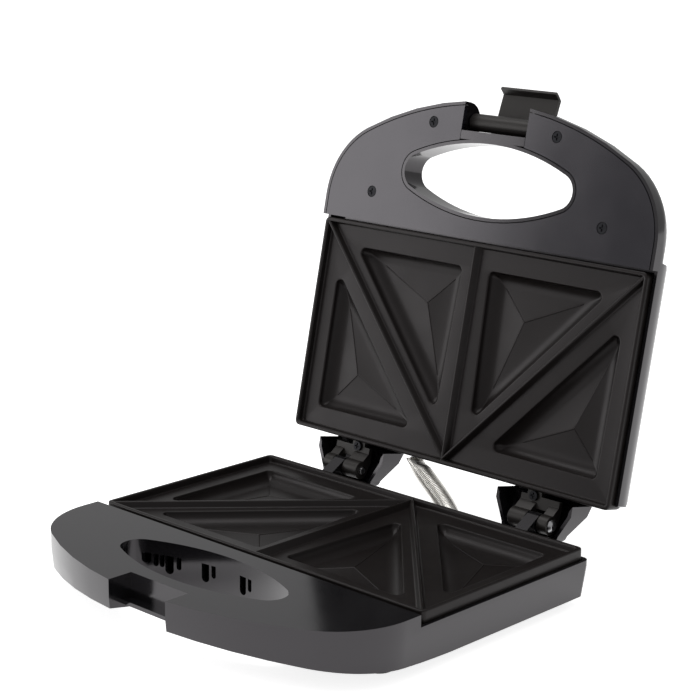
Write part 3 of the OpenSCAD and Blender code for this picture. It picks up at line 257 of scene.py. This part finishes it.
def mesh_object(name, verts, faces, smooth=True):
    mesh = bpy.data.meshes.new(name)
    mesh.from_pydata([tuple(v) for v in verts], [], faces)
    mesh.validate()
    mesh.update()
    if smooth:
        mesh.shade_smooth()
    obj = bpy.data.objects.new(name, mesh)
    bpy.context.scene.collection.objects.link(obj)
    return obj


def coat(obj, material):
    obj.data.materials.clear()
    obj.data.materials.append(material)


SHARP_ANGLE = 35.0


def soften(obj, width):
    """Rounds a CAD node's edges: joins its triangles into faces, then bevels what is sharp."""
    weld = obj.modifiers.new("weld", "WELD")
    weld.merge_threshold = 5 * MICRO
    flats = obj.modifiers.new("flats", "DECIMATE")
    flats.decimate_type = "DISSOLVE"
    flats.angle_limit = math.radians(0.6)
    bevel = obj.modifiers.new("edge", "BEVEL")
    bevel.width = width * MM
    bevel.segments = 2
    bevel.limit_method = "ANGLE"
    bevel.angle_limit = math.radians(SHARP_ANGLE)
    bevel.miter_outer = "MITER_ARC"
    normals = obj.modifiers.new("normals", "WEIGHTED_NORMAL")
    normals.keep_sharp = True
    normals.weight = 100


def finish_nodes(names, material, width=None):
    """Coats CAD nodes and, where width is given, rounds their edges by that many millimetres."""
    for name in names:
        node = frame["nodes"][name]
        coat(node, material)
        node.data.shade_smooth()
        node.data.set_sharp_from_angle(angle=math.radians(SHARP_ANGLE))
        if width:
            soften(node, width)


def tube(name, points, outs, radius, sides, dirs):
    """A round wire along points; outs and dirs give each ring's first axis and its run."""
    verts, faces = [], []
    for p, o, d in zip(points, outs, dirs):
        w = d.cross(o)
        for k in range(sides):
            a = 2 * math.pi * k / sides
            verts.append(p + radius * (math.cos(a) * o + math.sin(a) * w))
    count = len(points)
    for i in range(count - 1):
        for k in range(sides):
            a, b = i * sides + k, i * sides + (k + 1) % sides
            faces.append((a, b, b + sides, a + sides))
    faces.append(tuple(reversed(range(sides))))
    faces.append(tuple(range((count - 1) * sides, count * sides)))
    return mesh_object(name, verts, faces)


# ---------------------------------------------------------------- cooking plate form

# Sizes in millimetres. LAND and SKIRT are depths below the rim, CAST is the wall's thickness.
PLATE_W = (PLATE_HIGH.x - PLATE_LOW.x) / MM
PLATE_D = (PLATE_HIGH.y - PLATE_LOW.y) / MM
LAND = 3.7
SKIRT = 10.6
CAST = 2.6
RIM = 2.6
POCKET_DEPTH = 6.2
POCKET_WALL = 8.0
POCKET_CORNER = 3.0
POCKET_FLOOR = -LAND - POCKET_DEPTH
FLOOR_RISE = 1.0
CREASE_W = 0.95
CREASE_H = 0.26
INNER_POCKET = ((9.5, 14.0), (87.0, 14.0), (12.5, 95.0))
OUTER_POCKET = ((97.8, 107.8), (98.6, 29.5), (27.0, 107.2))

# How finely corners, curved walls, floors and creases are drawn.
CORNER_STEPS = 10
RIM_STEPS = 6
UNDER_STEPS = 8
WALL_STEPS = 14
FLOOR_STEPS = 12
CREASE_STEPS = 7

# A corner's radius shrinks by this share of the way in from the pocket's mouth.
CORNER_TAPER = 0.75

# A pocket's rounded lip: how far out each ring lies and how far down.
LIP = ((0.9, 0.0), (0.55, 0.03), (0.3, 0.11), (0.12, 0.26), (0.02, 0.5))
LIP_DEPTH = 0.75

# The rim's section from the land over the crest, down the skirt and up to the underside:
# how far in from the plate's edge, the corner's radius and the height.
RIM_SECTION = (
    (RIM + 0.9, 1.2, -LAND),
    (RIM + 0.45, 1.2, -LAND + 0.08),
    (RIM + 0.12, 1.3, -LAND + 0.4),
    (RIM, 1.4, -LAND + 0.9),
    (RIM - 0.15, 1.5, -0.9),
    (RIM - 0.3, 1.6, -0.45),
    (RIM - 0.65, 1.8, -0.12),
    (RIM - 1.0, 2.0, 0.0),
    (0.85, 2.4, 0.0),
    (0.35, 2.7, -0.1),
    (0.08, 2.9, -0.4),
    (0.0, 3.0, -0.9),
    (0.0, 3.0, -SKIRT + 0.5),
    (0.12, 2.9, -SKIRT + 0.12),
    (0.5, 2.6, -SKIRT),
    (RIM - 0.4, 1.8, -SKIRT),
    (RIM, 1.5, -SKIRT + 0.4),
    (RIM, 1.5, -LAND - CAST),
)

# A ridge's half section, from its crest out to the land: how far out and the height. The foot's
# own points are given from the ridge's foot.
RIDGE_CREST = ((0.3, -0.3), (0.6, -0.42), (0.85, -0.8))
RIDGE_FOOT = ((-0.3, -LAND + 0.6), (0.0, -LAND + 0.12), (0.5, -LAND - 0.02))
RIDGE_TOP = -0.27
MIDDLE_FOOT = 4.6
SLANT_FOOT = 3.9

# A crease's section: shares of its half width and of its height.
CREASE_SECTION = ((-1.0, -0.35), (-0.5, 0.72), (0.0, 1.0), (0.5, 0.72), (1.0, -0.35))


def double_area(t):
    """Twice a triangle's area, positive where its corners run anticlockwise."""
    return (t[1][0] - t[0][0]) * (t[2][1] - t[0][1]) - (t[1][1] - t[0][1]) * (t[2][0] - t[0][0])


def anticlockwise(t):
    return t if double_area(t) > 0 else (t[0], t[2], t[1])


def incentre(t):
    """A triangle's incentre and the radius of the circle in it."""
    a, b, c = (math.dist(t[1], t[2]), math.dist(t[2], t[0]), math.dist(t[0], t[1]))
    total = a + b + c
    centre = tuple((a * t[0][k] + b * t[1][k] + c * t[2][k]) / total for k in (0, 1))
    return centre, abs(double_area(t)) / total


def ring(t, inset, radius):
    """A round-cornered triangle drawn in from t by inset, as a closed list of plan points."""
    centre, inner = incentre(t)
    points = []
    for i in range(3):
        before, after = t[(i + 2) % 3], t[(i + 1) % 3]
        a0 = math.atan2(-(t[i][0] - before[0]), t[i][1] - before[1])
        a1 = math.atan2(-(after[0] - t[i][0]), after[1] - t[i][1])
        sweep = (a1 - a0) % (2 * math.pi)
        share = (inner - inset - radius) / inner
        px, py = (centre[k] + (t[i][k] - centre[k]) * share for k in (0, 1))
        for k in range(CORNER_STEPS + 1):
            a = a0 + sweep * k / CORNER_STEPS
            points.append((px + radius * math.cos(a), py + radius * math.sin(a)))
    return points


def floor_height(u):
    """The height of a pocket's floor, from its edge at u = 0 to its middle at u = 1."""
    return POCKET_FLOOR + FLOOR_RISE * (0.45 * u + 0.55 * u * u)


def under_rings(t):
    """Rings and heights down the outside of a pocket, seen from below the plate."""
    rings = []
    for k in range(UNDER_STEPS + 1):
        a = math.radians(90 * k / UNDER_STEPS)
        fall = POCKET_WALL * (1 - math.cos(a))
        corner = max(POCKET_CORNER + CAST - 1 - CORNER_TAPER * fall, 0.8)
        height = -LAND - CAST - POCKET_DEPTH * math.sin(a)
        rings.append((ring(t, fall - CAST + 1, corner), height))
    return rings, POCKET_FLOOR - CAST


def top_rings(t):
    """Rings and heights from the land down a pocket's rounded lip, curved wall and floor."""
    rings = []
    for out, drop in LIP:
        rings.append((ring(t, -out, POCKET_CORNER + out), -LAND - drop))
    start = math.asin(LIP_DEPTH / POCKET_DEPTH)
    for k in range(WALL_STEPS + 1):
        a = start + (math.pi / 2 - start) * k / WALL_STEPS
        fall = POCKET_WALL * (1 - math.cos(a))
        corner = max(POCKET_CORNER - CORNER_TAPER * fall, 0.6)
        rings.append((ring(t, fall, corner), -LAND - POCKET_DEPTH * math.sin(a)))
    span = incentre(t)[1] - POCKET_WALL
    for k in range(1, FLOOR_STEPS):
        u = k / FLOOR_STEPS
        corner = 0.65 * (1 - u) + 0.012
        rings.append((ring(t, POCKET_WALL + span * u * 0.985, corner), floor_height(u)))
    return rings, POCKET_FLOOR + FLOOR_RISE


def round_rect(inset, radius):
    """The plate's outline drawn in by inset, as a closed list of plan points."""
    w, d = PLATE_W / 2 - inset, PLATE_D - inset
    corners = (
        (w - radius, inset + radius, -90),
        (w - radius, d - radius, 0),
        (-w + radius, d - radius, 90),
        (-w + radius, inset + radius, 180),
    )
    points = []
    for cx, cy, start in corners:
        for k in range(RIM_STEPS + 1):
            a = math.radians(start + 90 * k / RIM_STEPS)
            points.append((cx + radius * math.cos(a), cy + radius * math.sin(a)))
    return points


def inside(point, polygon):
    """Whether a plan point lies in a closed list of points."""
    x, y = point
    hit = False
    for (x0, y0), (x1, y1) in zip(polygon, polygon[1:] + polygon[:1]):
        if (y0 > y) != (y1 > y) and x < x0 + (y - y0) * (x1 - x0) / (y1 - y0):
            hit = not hit
    return hit


def plate_form(name, place):
    """The whole cast plate: rim and skirt, land, ridges and four pockets.

    place turns a point in the plate's own millimetres into a point of the scene.
    """
    verts, faces = [], []

    def loop(points, z):
        first = len(verts)
        verts.extend((x, y, z) for x, y in points)
        return list(range(first, len(verts)))

    def skin(a, b):
        n = len(a)
        faces.extend((a[i], a[(i + 1) % n], b[(i + 1) % n], b[i]) for i in range(n))

    def land(border, pockets, flip):
        """Fills the flat between the rim's loop and the pockets' loops."""
        loops = [border, *pockets]
        flat = [Vector(verts[i][:2]) for one in loops for i in one]
        ids = [i for one in loops for i in one]
        edges, start = [], 0
        for one in loops:
            n = len(one)
            edges += [(start + k, start + (k + 1) % n) for k in range(n)]
            start += n
        got = delaunay_2d_cdt(flat, edges, [], 0, 1e-7)
        holes = [[verts[i][:2] for i in one] for one in pockets]
        source = [ids[o[0]] for o in got[3]]
        for face in got[2]:
            middle = [sum(got[0][i][k] for i in face) / 3 for k in (0, 1)]
            if not any(inside(middle, hole) for hole in holes):
                corner = [source[i] for i in face]
                faces.append(tuple(reversed(corner)) if flip else tuple(corner))

    triangles = []
    for t in (INNER_POCKET, OUTER_POCKET):
        triangles += [anticlockwise(t), anticlockwise(tuple((-x, y) for x, y in t))]
    tops, unders = [], []
    for t in triangles:
        for under, mouths in ((False, tops), (True, unders)):
            rings, end = under_rings(t) if under else top_rings(t)
            loops = [loop(points, z) for points, z in rings]
            mouths.append(loops[0])
            for a, b in zip(loops, loops[1:]):
                skin(b, a) if under else skin(a, b)
            hub = len(verts)
            verts.append((*incentre(t)[0], end))
            n = len(loops[-1])
            for i in range(n):
                pair = (loops[-1][i], loops[-1][(i + 1) % n])
                faces.append((*reversed(pair), hub) if under else (*pair, hub))
    loops = [loop(round_rect(inset, radius), z) for inset, radius, z in RIM_SECTION]
    for a, b in zip(loops, loops[1:]):
        skin(b, a)
    land(loops[0], tops, False)
    land(loops[-1], unders, True)

    def crease(centre, corner):
        """A fine raised line from a pocket's middle to the corner of its floor."""
        run = Vector(corner) - Vector(centre)
        across = Vector((-run.y, run.x)).normalized() * CREASE_W / 2
        rows = []
        for k in range(CREASE_STEPS + 1):
            u = 1 - k / CREASE_STEPS
            x, y = Vector(centre) + run * (1 - u)
            floor = floor_height(u)
            first = len(verts)
            for side, height in CREASE_SECTION:
                verts.append((x + across.x * side, y + across.y * side, floor + CREASE_H * height))
            rows.append(range(first, len(verts)))
        for a, b in zip(rows, rows[1:]):
            faces.extend((a[i], b[i], b[i + 1], a[i + 1]) for i in range(len(CREASE_SECTION) - 1))

    for t in triangles:
        centre, inner = incentre(t)
        share = (inner - POCKET_WALL) / inner
        for tip in t:
            crease(centre, [centre[k] + (tip[k] - centre[k]) * share for k in (0, 1)])

    def ridge(x0, y0, x1, y1, foot):
        """A ridge with sloped sides and a rounded crest."""
        run = Vector((x1 - x0, y1 - y0))
        across = Vector((-run.y, run.x)).normalized()
        half_section = [*RIDGE_CREST, *((foot / 2 + out, z) for out, z in RIDGE_FOOT)]
        mirrored = [(-out, z) for out, z in reversed(half_section)]
        section = [*mirrored, (0.0, RIDGE_TOP), *half_section]
        rows = []
        for x, y in ((x0, y0), (x1, y1)):
            first = len(verts)
            verts.extend((x + across.x * u, y + across.y * u, z) for u, z in section)
            rows.append(range(first, len(verts)))
        for i in range(len(section) - 1):
            faces.append((rows[0][i], rows[1][i], rows[1][i + 1], rows[0][i + 1]))

    half = PLATE_W / 2
    ridge(0, RIM - 0.5, 0, PLATE_D - RIM + 0.5, MIDDLE_FOOT)
    for side in (-1, 1):
        ridge(0, PLATE_D - RIM - 0.6, side * (half - RIM - 0.1), RIM + 0.1, SLANT_FOOT)
    obj = mesh_object(name, [place(*v) for v in verts], faces)
    mesh = obj.data
    edit = bmesh.new()
    edit.from_mesh(mesh)
    bmesh.ops.recalc_face_normals(edit, faces=edit.faces)
    edit.to_mesh(mesh)
    edit.free()
    mesh.shade_smooth()
    mesh.set_sharp_from_angle(angle=math.radians(50))
    return obj


# ---------------------------------------------------------------- guard spring form

REAR = 123.4
SPRING_LOW = at(21.5, REAR, -11.2)
SPRING_HIGH = at_lid(-27.5, REAR, 11.8)

# The ways out of the two rear walls, and the share of the spring over which curls turn to them.
WALL_LOW = Vector((0, 1, 0))
WALL_HIGH = open_matrix().to_3x3() @ WALL_LOW
TURN_SHARE = 0.3
SPRING_GAP = 0.3 * MM
CURL_STEPS = 20
WIRE_SIDES = 8
SLEEVE_RADIUS = 2.7 * MM
SLEEVE_STEPS = 32
SLEEVE_SIDES = 20


def guard_curve(wire):
    """The spring's axis: four control points of a nearly straight cubic between the rear walls."""
    straight = (SPRING_HIGH - SPRING_LOW).normalized()
    start = SPRING_LOW + (wire + SPRING_GAP) * WALL_LOW
    end = SPRING_HIGH + (wire + SPRING_GAP) * WALL_HIGH
    out = (WALL_LOW + 0.7 * straight).normalized()
    return start, start + 15 * MM * out, end - 18 * MM * straight, end


def on_curve(curve, u):
    """The point at share u of a cubic curve."""
    a, b, c, d = curve
    v = 1 - u
    return v ** 3 * a + 3 * u * v * v * b + 3 * u * u * v * c + u ** 3 * d


def curve_frame(curve, u):
    """The way a curl faces and its two axes: along the curve, but flat on the wall at the ends."""
    facing = (on_curve(curve, min(u + 0.001, 1)) - on_curve(curve, max(u - 0.001, 0))).normalized()
    for share, wall in ((u, WALL_LOW), (1 - u, -WALL_HIGH)):
        near = max(1 - share / TURN_SHARE, 0)
        near = near * near * (3 - 2 * near)
        facing = ((1 - near) * facing + near * wall).normalized()
    lift = facing.cross(Vector((0.6, 0.2, 0.8))).normalized()
    return facing, lift, facing.cross(lift)


# ---------------------------------------------------------------- settings


class ToasterFinish(bpy.types.PropertyGroup):
    casing: FloatVectorProperty(
        name="Casing", description="Colour of the outer casing",
        subtype="COLOR", default=(0.006, 0.0058, 0.0066), min=0, max=1)
    cover: FloatVectorProperty(
        name="Inner cover", description="Colour of the lid handle's inner cover",
        subtype="COLOR", default=(0.006, 0.006, 0.009), min=0, max=1)
    plate: FloatVectorProperty(
        name="Plates", description="Colour of the non-stick coat",
        subtype="COLOR", default=(0.009, 0.0074, 0.0070), min=0, max=1)
    latch: FloatVectorProperty(
        name="Latch", description="Colour of the latch and the hinge forks",
        subtype="COLOR", default=(0.012, 0.0105, 0.0098), min=0, max=1)
    gloss: FloatProperty(
        name="Casing roughness", description="How dull the casing is",
        default=0.14, min=0.02, max=1)
    edge: FloatProperty(
        name="Casing edge", description="Radius of the casing's edges in millimetres",
        default=0.8, min=0.1, max=2)


class GuardSpring(bpy.types.PropertyGroup):
    curls: IntProperty(
        name="Curls", description="Turns of the guard spring", default=56, min=20, max=70)
    wire: FloatProperty(
        name="Wire", description="Radius of the spring wire",
        subtype="DISTANCE", default=0.00038, min=0.0002, max=0.0006)
    outside: FloatProperty(
        name="Outside", description="Outside radius of the spring",
        subtype="DISTANCE", default=0.0051, min=0.003, max=0.006)


class StageSettings(bpy.types.PropertyGroup):
    floor: FloatProperty(
        name="Floor", description="Brightness of the floor", default=0.9, min=0.2, max=1)
    lift: FloatProperty(
        name="Floor lift", description="Light added to the seen floor so that it is white",
        default=0.8, min=0, max=1)
    room: FloatProperty(
        name="Room light", description="Strength of the light from all round",
        default=0.5, min=0, max=2)
    key: FloatProperty(
        name="Key light", description="Power of the soft light overhead",
        default=8.0, min=0, max=200)
    side: FloatProperty(
        name="Side light", description="Power of the soft light at the front left",
        default=7.0, min=0, max=200)


class ToasterSettings(bpy.types.PropertyGroup):
    finish: PointerProperty(type=ToasterFinish)
    spring: PointerProperty(type=GuardSpring)
    stage: PointerProperty(type=StageSettings)


def settings():
    return bpy.context.scene.toaster


# ---------------------------------------------------------------- pieces


class TOASTER_OT_casing(bpy.types.Operator):
    """Gives the base, the lid and the covers their glossy moulded finish"""

    bl_idname = "toaster.casing"
    bl_label = "Casing"

    def execute(self, context):
        f = settings().finish
        casing = moulded_plastic("casing_gloss", tuple(f.casing), f.gloss, 700.0, 10 * MICRO)
        dull = f.gloss * 1.2
        cover = moulded_plastic("inner_cover_gloss", tuple(f.cover), dull, 700.0, 10 * MICRO)
        finish_nodes(["base_housing", "lid_shell"], casing, f.edge)
        finish_nodes(["base_bottom_cover"], casing, 0.3)
        finish_nodes(["handle_cover"], cover, 0.3)
        return {"FINISHED"}


class TOASTER_OT_plates(bpy.types.Operator):
    """Coats the two cooking plates"""

    bl_idname = "toaster.plates"
    bl_label = "Cooking plates"

    def execute(self, context):
        coating = non_stick_coating("non_stick_coat", tuple(settings().finish.plate))
        for node, body, place in (
            ("lower_plate", "base", lambda x, y, z: at(x, y, z)),
            ("upper_plate", "lid", lambda x, y, z: at_lid(x, y, -z)),
        ):
            plate = plate_form(node + "_cast", place)
            coat(plate, coating)
            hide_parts(node)
            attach(plate, body)
        return {"FINISHED"}


class TOASTER_OT_latch(bpy.types.Operator):
    """Finishes the latch and the hinge forks"""

    bl_idname = "toaster.latch"
    bl_label = "Latch and hinges"

    def execute(self, context):
        f = settings().finish
        matte = moulded_plastic("latch_matte", tuple(f.latch), 0.42, 1500.0, 30 * MICRO,
                                shine=0.28, tint=(1.0, 0.97, 0.95))
        finish_nodes(["latch"], matte, 0.4)
        finish_nodes(["hinge_bracket_left", "hinge_bracket_right"], matte, 0.4)
        steel = metal("pin_steel", (0.45, 0.45, 0.46), 0.3)
        finish_nodes(["hinge_pin_left", "hinge_pin_right", "latch_pin"], steel, 0.2)
        return {"FINISHED"}


class TOASTER_OT_spring(bpy.types.Operator):
    """Winds the guard spring round its woven sleeve, from the base to the lid"""

    bl_idname = "toaster.spring"
    bl_label = "Guard spring"

    def execute(self, context):
        s = settings().spring
        curve = guard_curve(s.wire)
        radius = s.outside - s.wire
        points, outs = [], []
        for k in range(s.curls * CURL_STEPS + 1):
            u = k / (s.curls * CURL_STEPS)
            lift, side = curve_frame(curve, u)[1:]
            a = 2 * math.pi * k / CURL_STEPS
            outs.append(math.cos(a) * lift + math.sin(a) * side)
            points.append(on_curve(curve, u) + radius * outs[-1])
        dirs = [(b - a).normalized() for a, b in zip(points, points[1:])]
        dirs.append(dirs[-1])
        coil = tube("guard_spring", points, outs, s.wire, WIRE_SIDES, dirs)
        coat(coil, metal("spring_nickel", (0.93, 0.91, 0.87), 0.28, scale=40.0))
        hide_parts("wire_guard_spring")
        shares = [k / SLEEVE_STEPS for k in range(SLEEVE_STEPS + 1)]
        frames = [curve_frame(curve, u) for u in shares]
        line = [on_curve(curve, u) for u in shares]
        # The sleeve's ends go a little way into the two rear walls.
        low_end = SPRING_LOW - 0.6 * MM * frames[0][0]
        high_end = SPRING_HIGH + 0.3 * MM * frames[-1][0]
        line = [low_end, *line, high_end]
        frames = [frames[0], *frames, frames[-1]]
        lifts = [f[1] for f in frames]
        runs = [f[0] for f in frames]
        sleeve = tube("woven_sleeve", line, lifts, SLEEVE_RADIUS, SLEEVE_SIDES, runs)
        coat(sleeve, glass_braid("woven_glass", (0.62, 0.59, 0.52)))
        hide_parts("wiring_sleeve")
        for piece in (coil, sleeve):
            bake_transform(piece)
        return {"FINISHED"}


class TOASTER_OT_hardware(bpy.types.Operator):
    """Finishes the screws, the feet and the inner parts"""

    bl_idname = "toaster.hardware"
    bl_label = "Hardware"

    def execute(self, context):
        dark = metal("black_screw", (0.02, 0.02, 0.022), 0.4)
        bright = metal("zinc_screw", (0.6, 0.6, 0.6), 0.3)
        feet = rubber("foot_rubber", (0.018, 0.018, 0.018))
        sheet = metal("reflector_sheet", (0.78, 0.79, 0.8), 0.22, (1, 12, 1))
        sheath = metal("element_sheath", (0.2, 0.19, 0.19), 0.45)
        cream = moulded_plastic("heat_proof_plastic", (0.62, 0.58, 0.48), 0.5, 900.0, 30 * MICRO)
        finish_nodes(["base_cover_screws", "handle_cover_screws"], dark, 0.12)
        finish_nodes(["hinge_bracket_screws"], dark, 0.12)
        finish_nodes(["lower_plate_screws", "upper_plate_screws"], bright, 0.12)
        finish_nodes(["cord_clamp_screws"], bright, 0.12)
        finish_nodes(["thermostat", "thermal_fuse"], bright, 0.12)
        finish_nodes(["foot_front_left", "foot_front_right"], feet, 0.5)
        finish_nodes(["foot_rear_left", "foot_rear_right", "cord_inlet_bush"], feet, 0.5)
        finish_nodes(["lower_reflector", "upper_reflector"], sheet)
        finish_nodes(["lower_heating_element", "upper_heating_element"], sheath)
        finish_nodes(["terminal_block", "cord_clamp", "lamp_holder"], cream, 0.3)
        finish_nodes(["power_lamp_lens"], lens_plastic("red_lens", (0.55, 0.03, 0.02)), 0.4)
        finish_nodes(["ready_lamp_lens"], lens_plastic("green_lens", (0.03, 0.4, 0.06)), 0.4)
        finish_nodes(["power_lamp", "ready_lamp"], lens_plastic("lamp_glass", (0.7, 0.5, 0.4)))
        return {"FINISHED"}


# The photograph's camera: its place and aim in the plate's millimetres, its turn about its own
# line of sight in degrees, and its focal length in pixels of a picture of this width.
CAMERA_PLACE = (642.8, -615.9, 321.3)
CAMERA_AIM = (-250.0, 334.29, 0.0)
CAMERA_ROLL = 0.72
FOCAL_PIXELS = 1922.55
PICTURE_WIDTH = 700.0
SENSOR_WIDTH = 36.0

# Half the width of the floor in metres.
FLOOR_REACH = 9.0


class TOASTER_OT_stage(bpy.types.Operator):
    """Sets the pale floor, the soft lights and the camera at the photograph's angle"""

    bl_idname = "toaster.stage"
    bl_label = "Stage"

    def execute(self, context):
        s = settings().stage
        scene = context.scene
        scene.view_settings.view_transform = "Standard"
        n = Nodes("pale_floor")
        n.set(Base_Color=(s.floor, s.floor, s.floor, 1), Roughness=0.9)
        glow = n.add("ShaderNodeEmission")
        lit = n.add("ShaderNodeAddShader")
        pick = n.add("ShaderNodeMixShader")
        n.link(n.seen_ray(), pick.inputs["Fac"])
        n.link(n.shader.outputs[0], lit.inputs[0])
        n.link(glow.outputs[0], lit.inputs[1])
        n.link(n.shader.outputs[0], pick.inputs[1])
        n.link(lit.outputs[0], pick.inputs[2])
        n.link(pick.outputs[0], n.out.inputs["Surface"])
        glow.inputs["Strength"].default_value = s.lift
        r = FLOOR_REACH
        corners = [(-r, -r, 0), (r, -r, 0), (r, r, 0), (-r, r, 0)]
        floor = mesh_object("floor", corners, [(0, 1, 2, 3)], smooth=False)
        coat(floor, n.material)

        world = bpy.data.worlds.new("studio")
        scene.world = world
        world.use_nodes = True
        light = world.node_tree.nodes["Background"]
        light.inputs["Color"].default_value = (1, 1, 1, 1)
        light.inputs["Strength"].default_value = s.room

        def lamp(name, place, aim, width, power):
            """A square soft light that points from place to aim."""
            data = bpy.data.lights.new(name, "AREA")
            data.shape = "RECTANGLE"
            data.size, data.size_y = width, width
            data.energy = power
            obj = bpy.data.objects.new(name, data)
            scene.collection.objects.link(obj)
            obj.location = Vector(place)
            obj.rotation_mode = "QUATERNION"
            obj.rotation_quaternion = (Vector(aim) - Vector(place)).to_track_quat("-Z", "Y")
            obj.visible_camera = False

        lamp("key", (-0.3, -0.2, 1.3), (0, 0, 0.08), 1.0, s.key)
        lamp("side", (-1.35, -0.9, 0.45), (0, 0.1, 0.15), 0.9, s.side)

        data = bpy.data.cameras.new("camera")
        data.sensor_width = SENSOR_WIDTH
        data.lens = SENSOR_WIDTH * FOCAL_PIXELS / PICTURE_WIDTH
        data.clip_start, data.clip_end = 0.05, 50.0
        camera = bpy.data.objects.new("camera", data)
        scene.collection.objects.link(camera)
        place = at(*CAMERA_PLACE)
        look = (at(*CAMERA_AIM) - place).normalized()
        right = look.cross(Vector((0, 0, 1))).normalized()
        up = right.cross(look)
        roll = math.radians(CAMERA_ROLL)
        tilted_right = math.cos(roll) * right + math.sin(roll) * up
        tilted_up = tilted_right.cross(look)
        turn = Matrix((tilted_right, tilted_up, -look)).transposed()
        camera.matrix_world = Matrix.Translation(place) @ turn.to_4x4()
        scene.camera = camera
        return {"FINISHED"}


PIECES = [
    TOASTER_OT_casing,
    TOASTER_OT_plates,
    TOASTER_OT_latch,
    TOASTER_OT_spring,
    TOASTER_OT_hardware,
    TOASTER_OT_stage,
]


class TOASTER_PT_panel(bpy.types.Panel):
    """Lists the toaster's pieces"""

    bl_label = "Sandwich toaster"
    bl_idname = "TOASTER_PT_panel"
    bl_space_type = "VIEW_3D"
    bl_region_type = "UI"
    bl_category = "Toaster"

    def draw(self, context):
        for piece in PIECES:
            self.layout.operator(piece.bl_idname)


CLASSES = [ToasterFinish, GuardSpring, StageSettings, ToasterSettings, *PIECES, TOASTER_PT_panel]


def register():
    for item in CLASSES:
        bpy.utils.register_class(item)
    bpy.types.Scene.toaster = PointerProperty(type=ToasterSettings)


def unregister():
    del bpy.types.Scene.toaster
    for item in reversed(CLASSES):
        bpy.utils.unregister_class(item)


def main():
    register()
    for piece in PIECES:
        group, name = piece.bl_idname.split(".")
        getattr(getattr(bpy.ops, group), name)()
    bpy.context.view_layer.update()


if __name__ == "__main__":
    main()
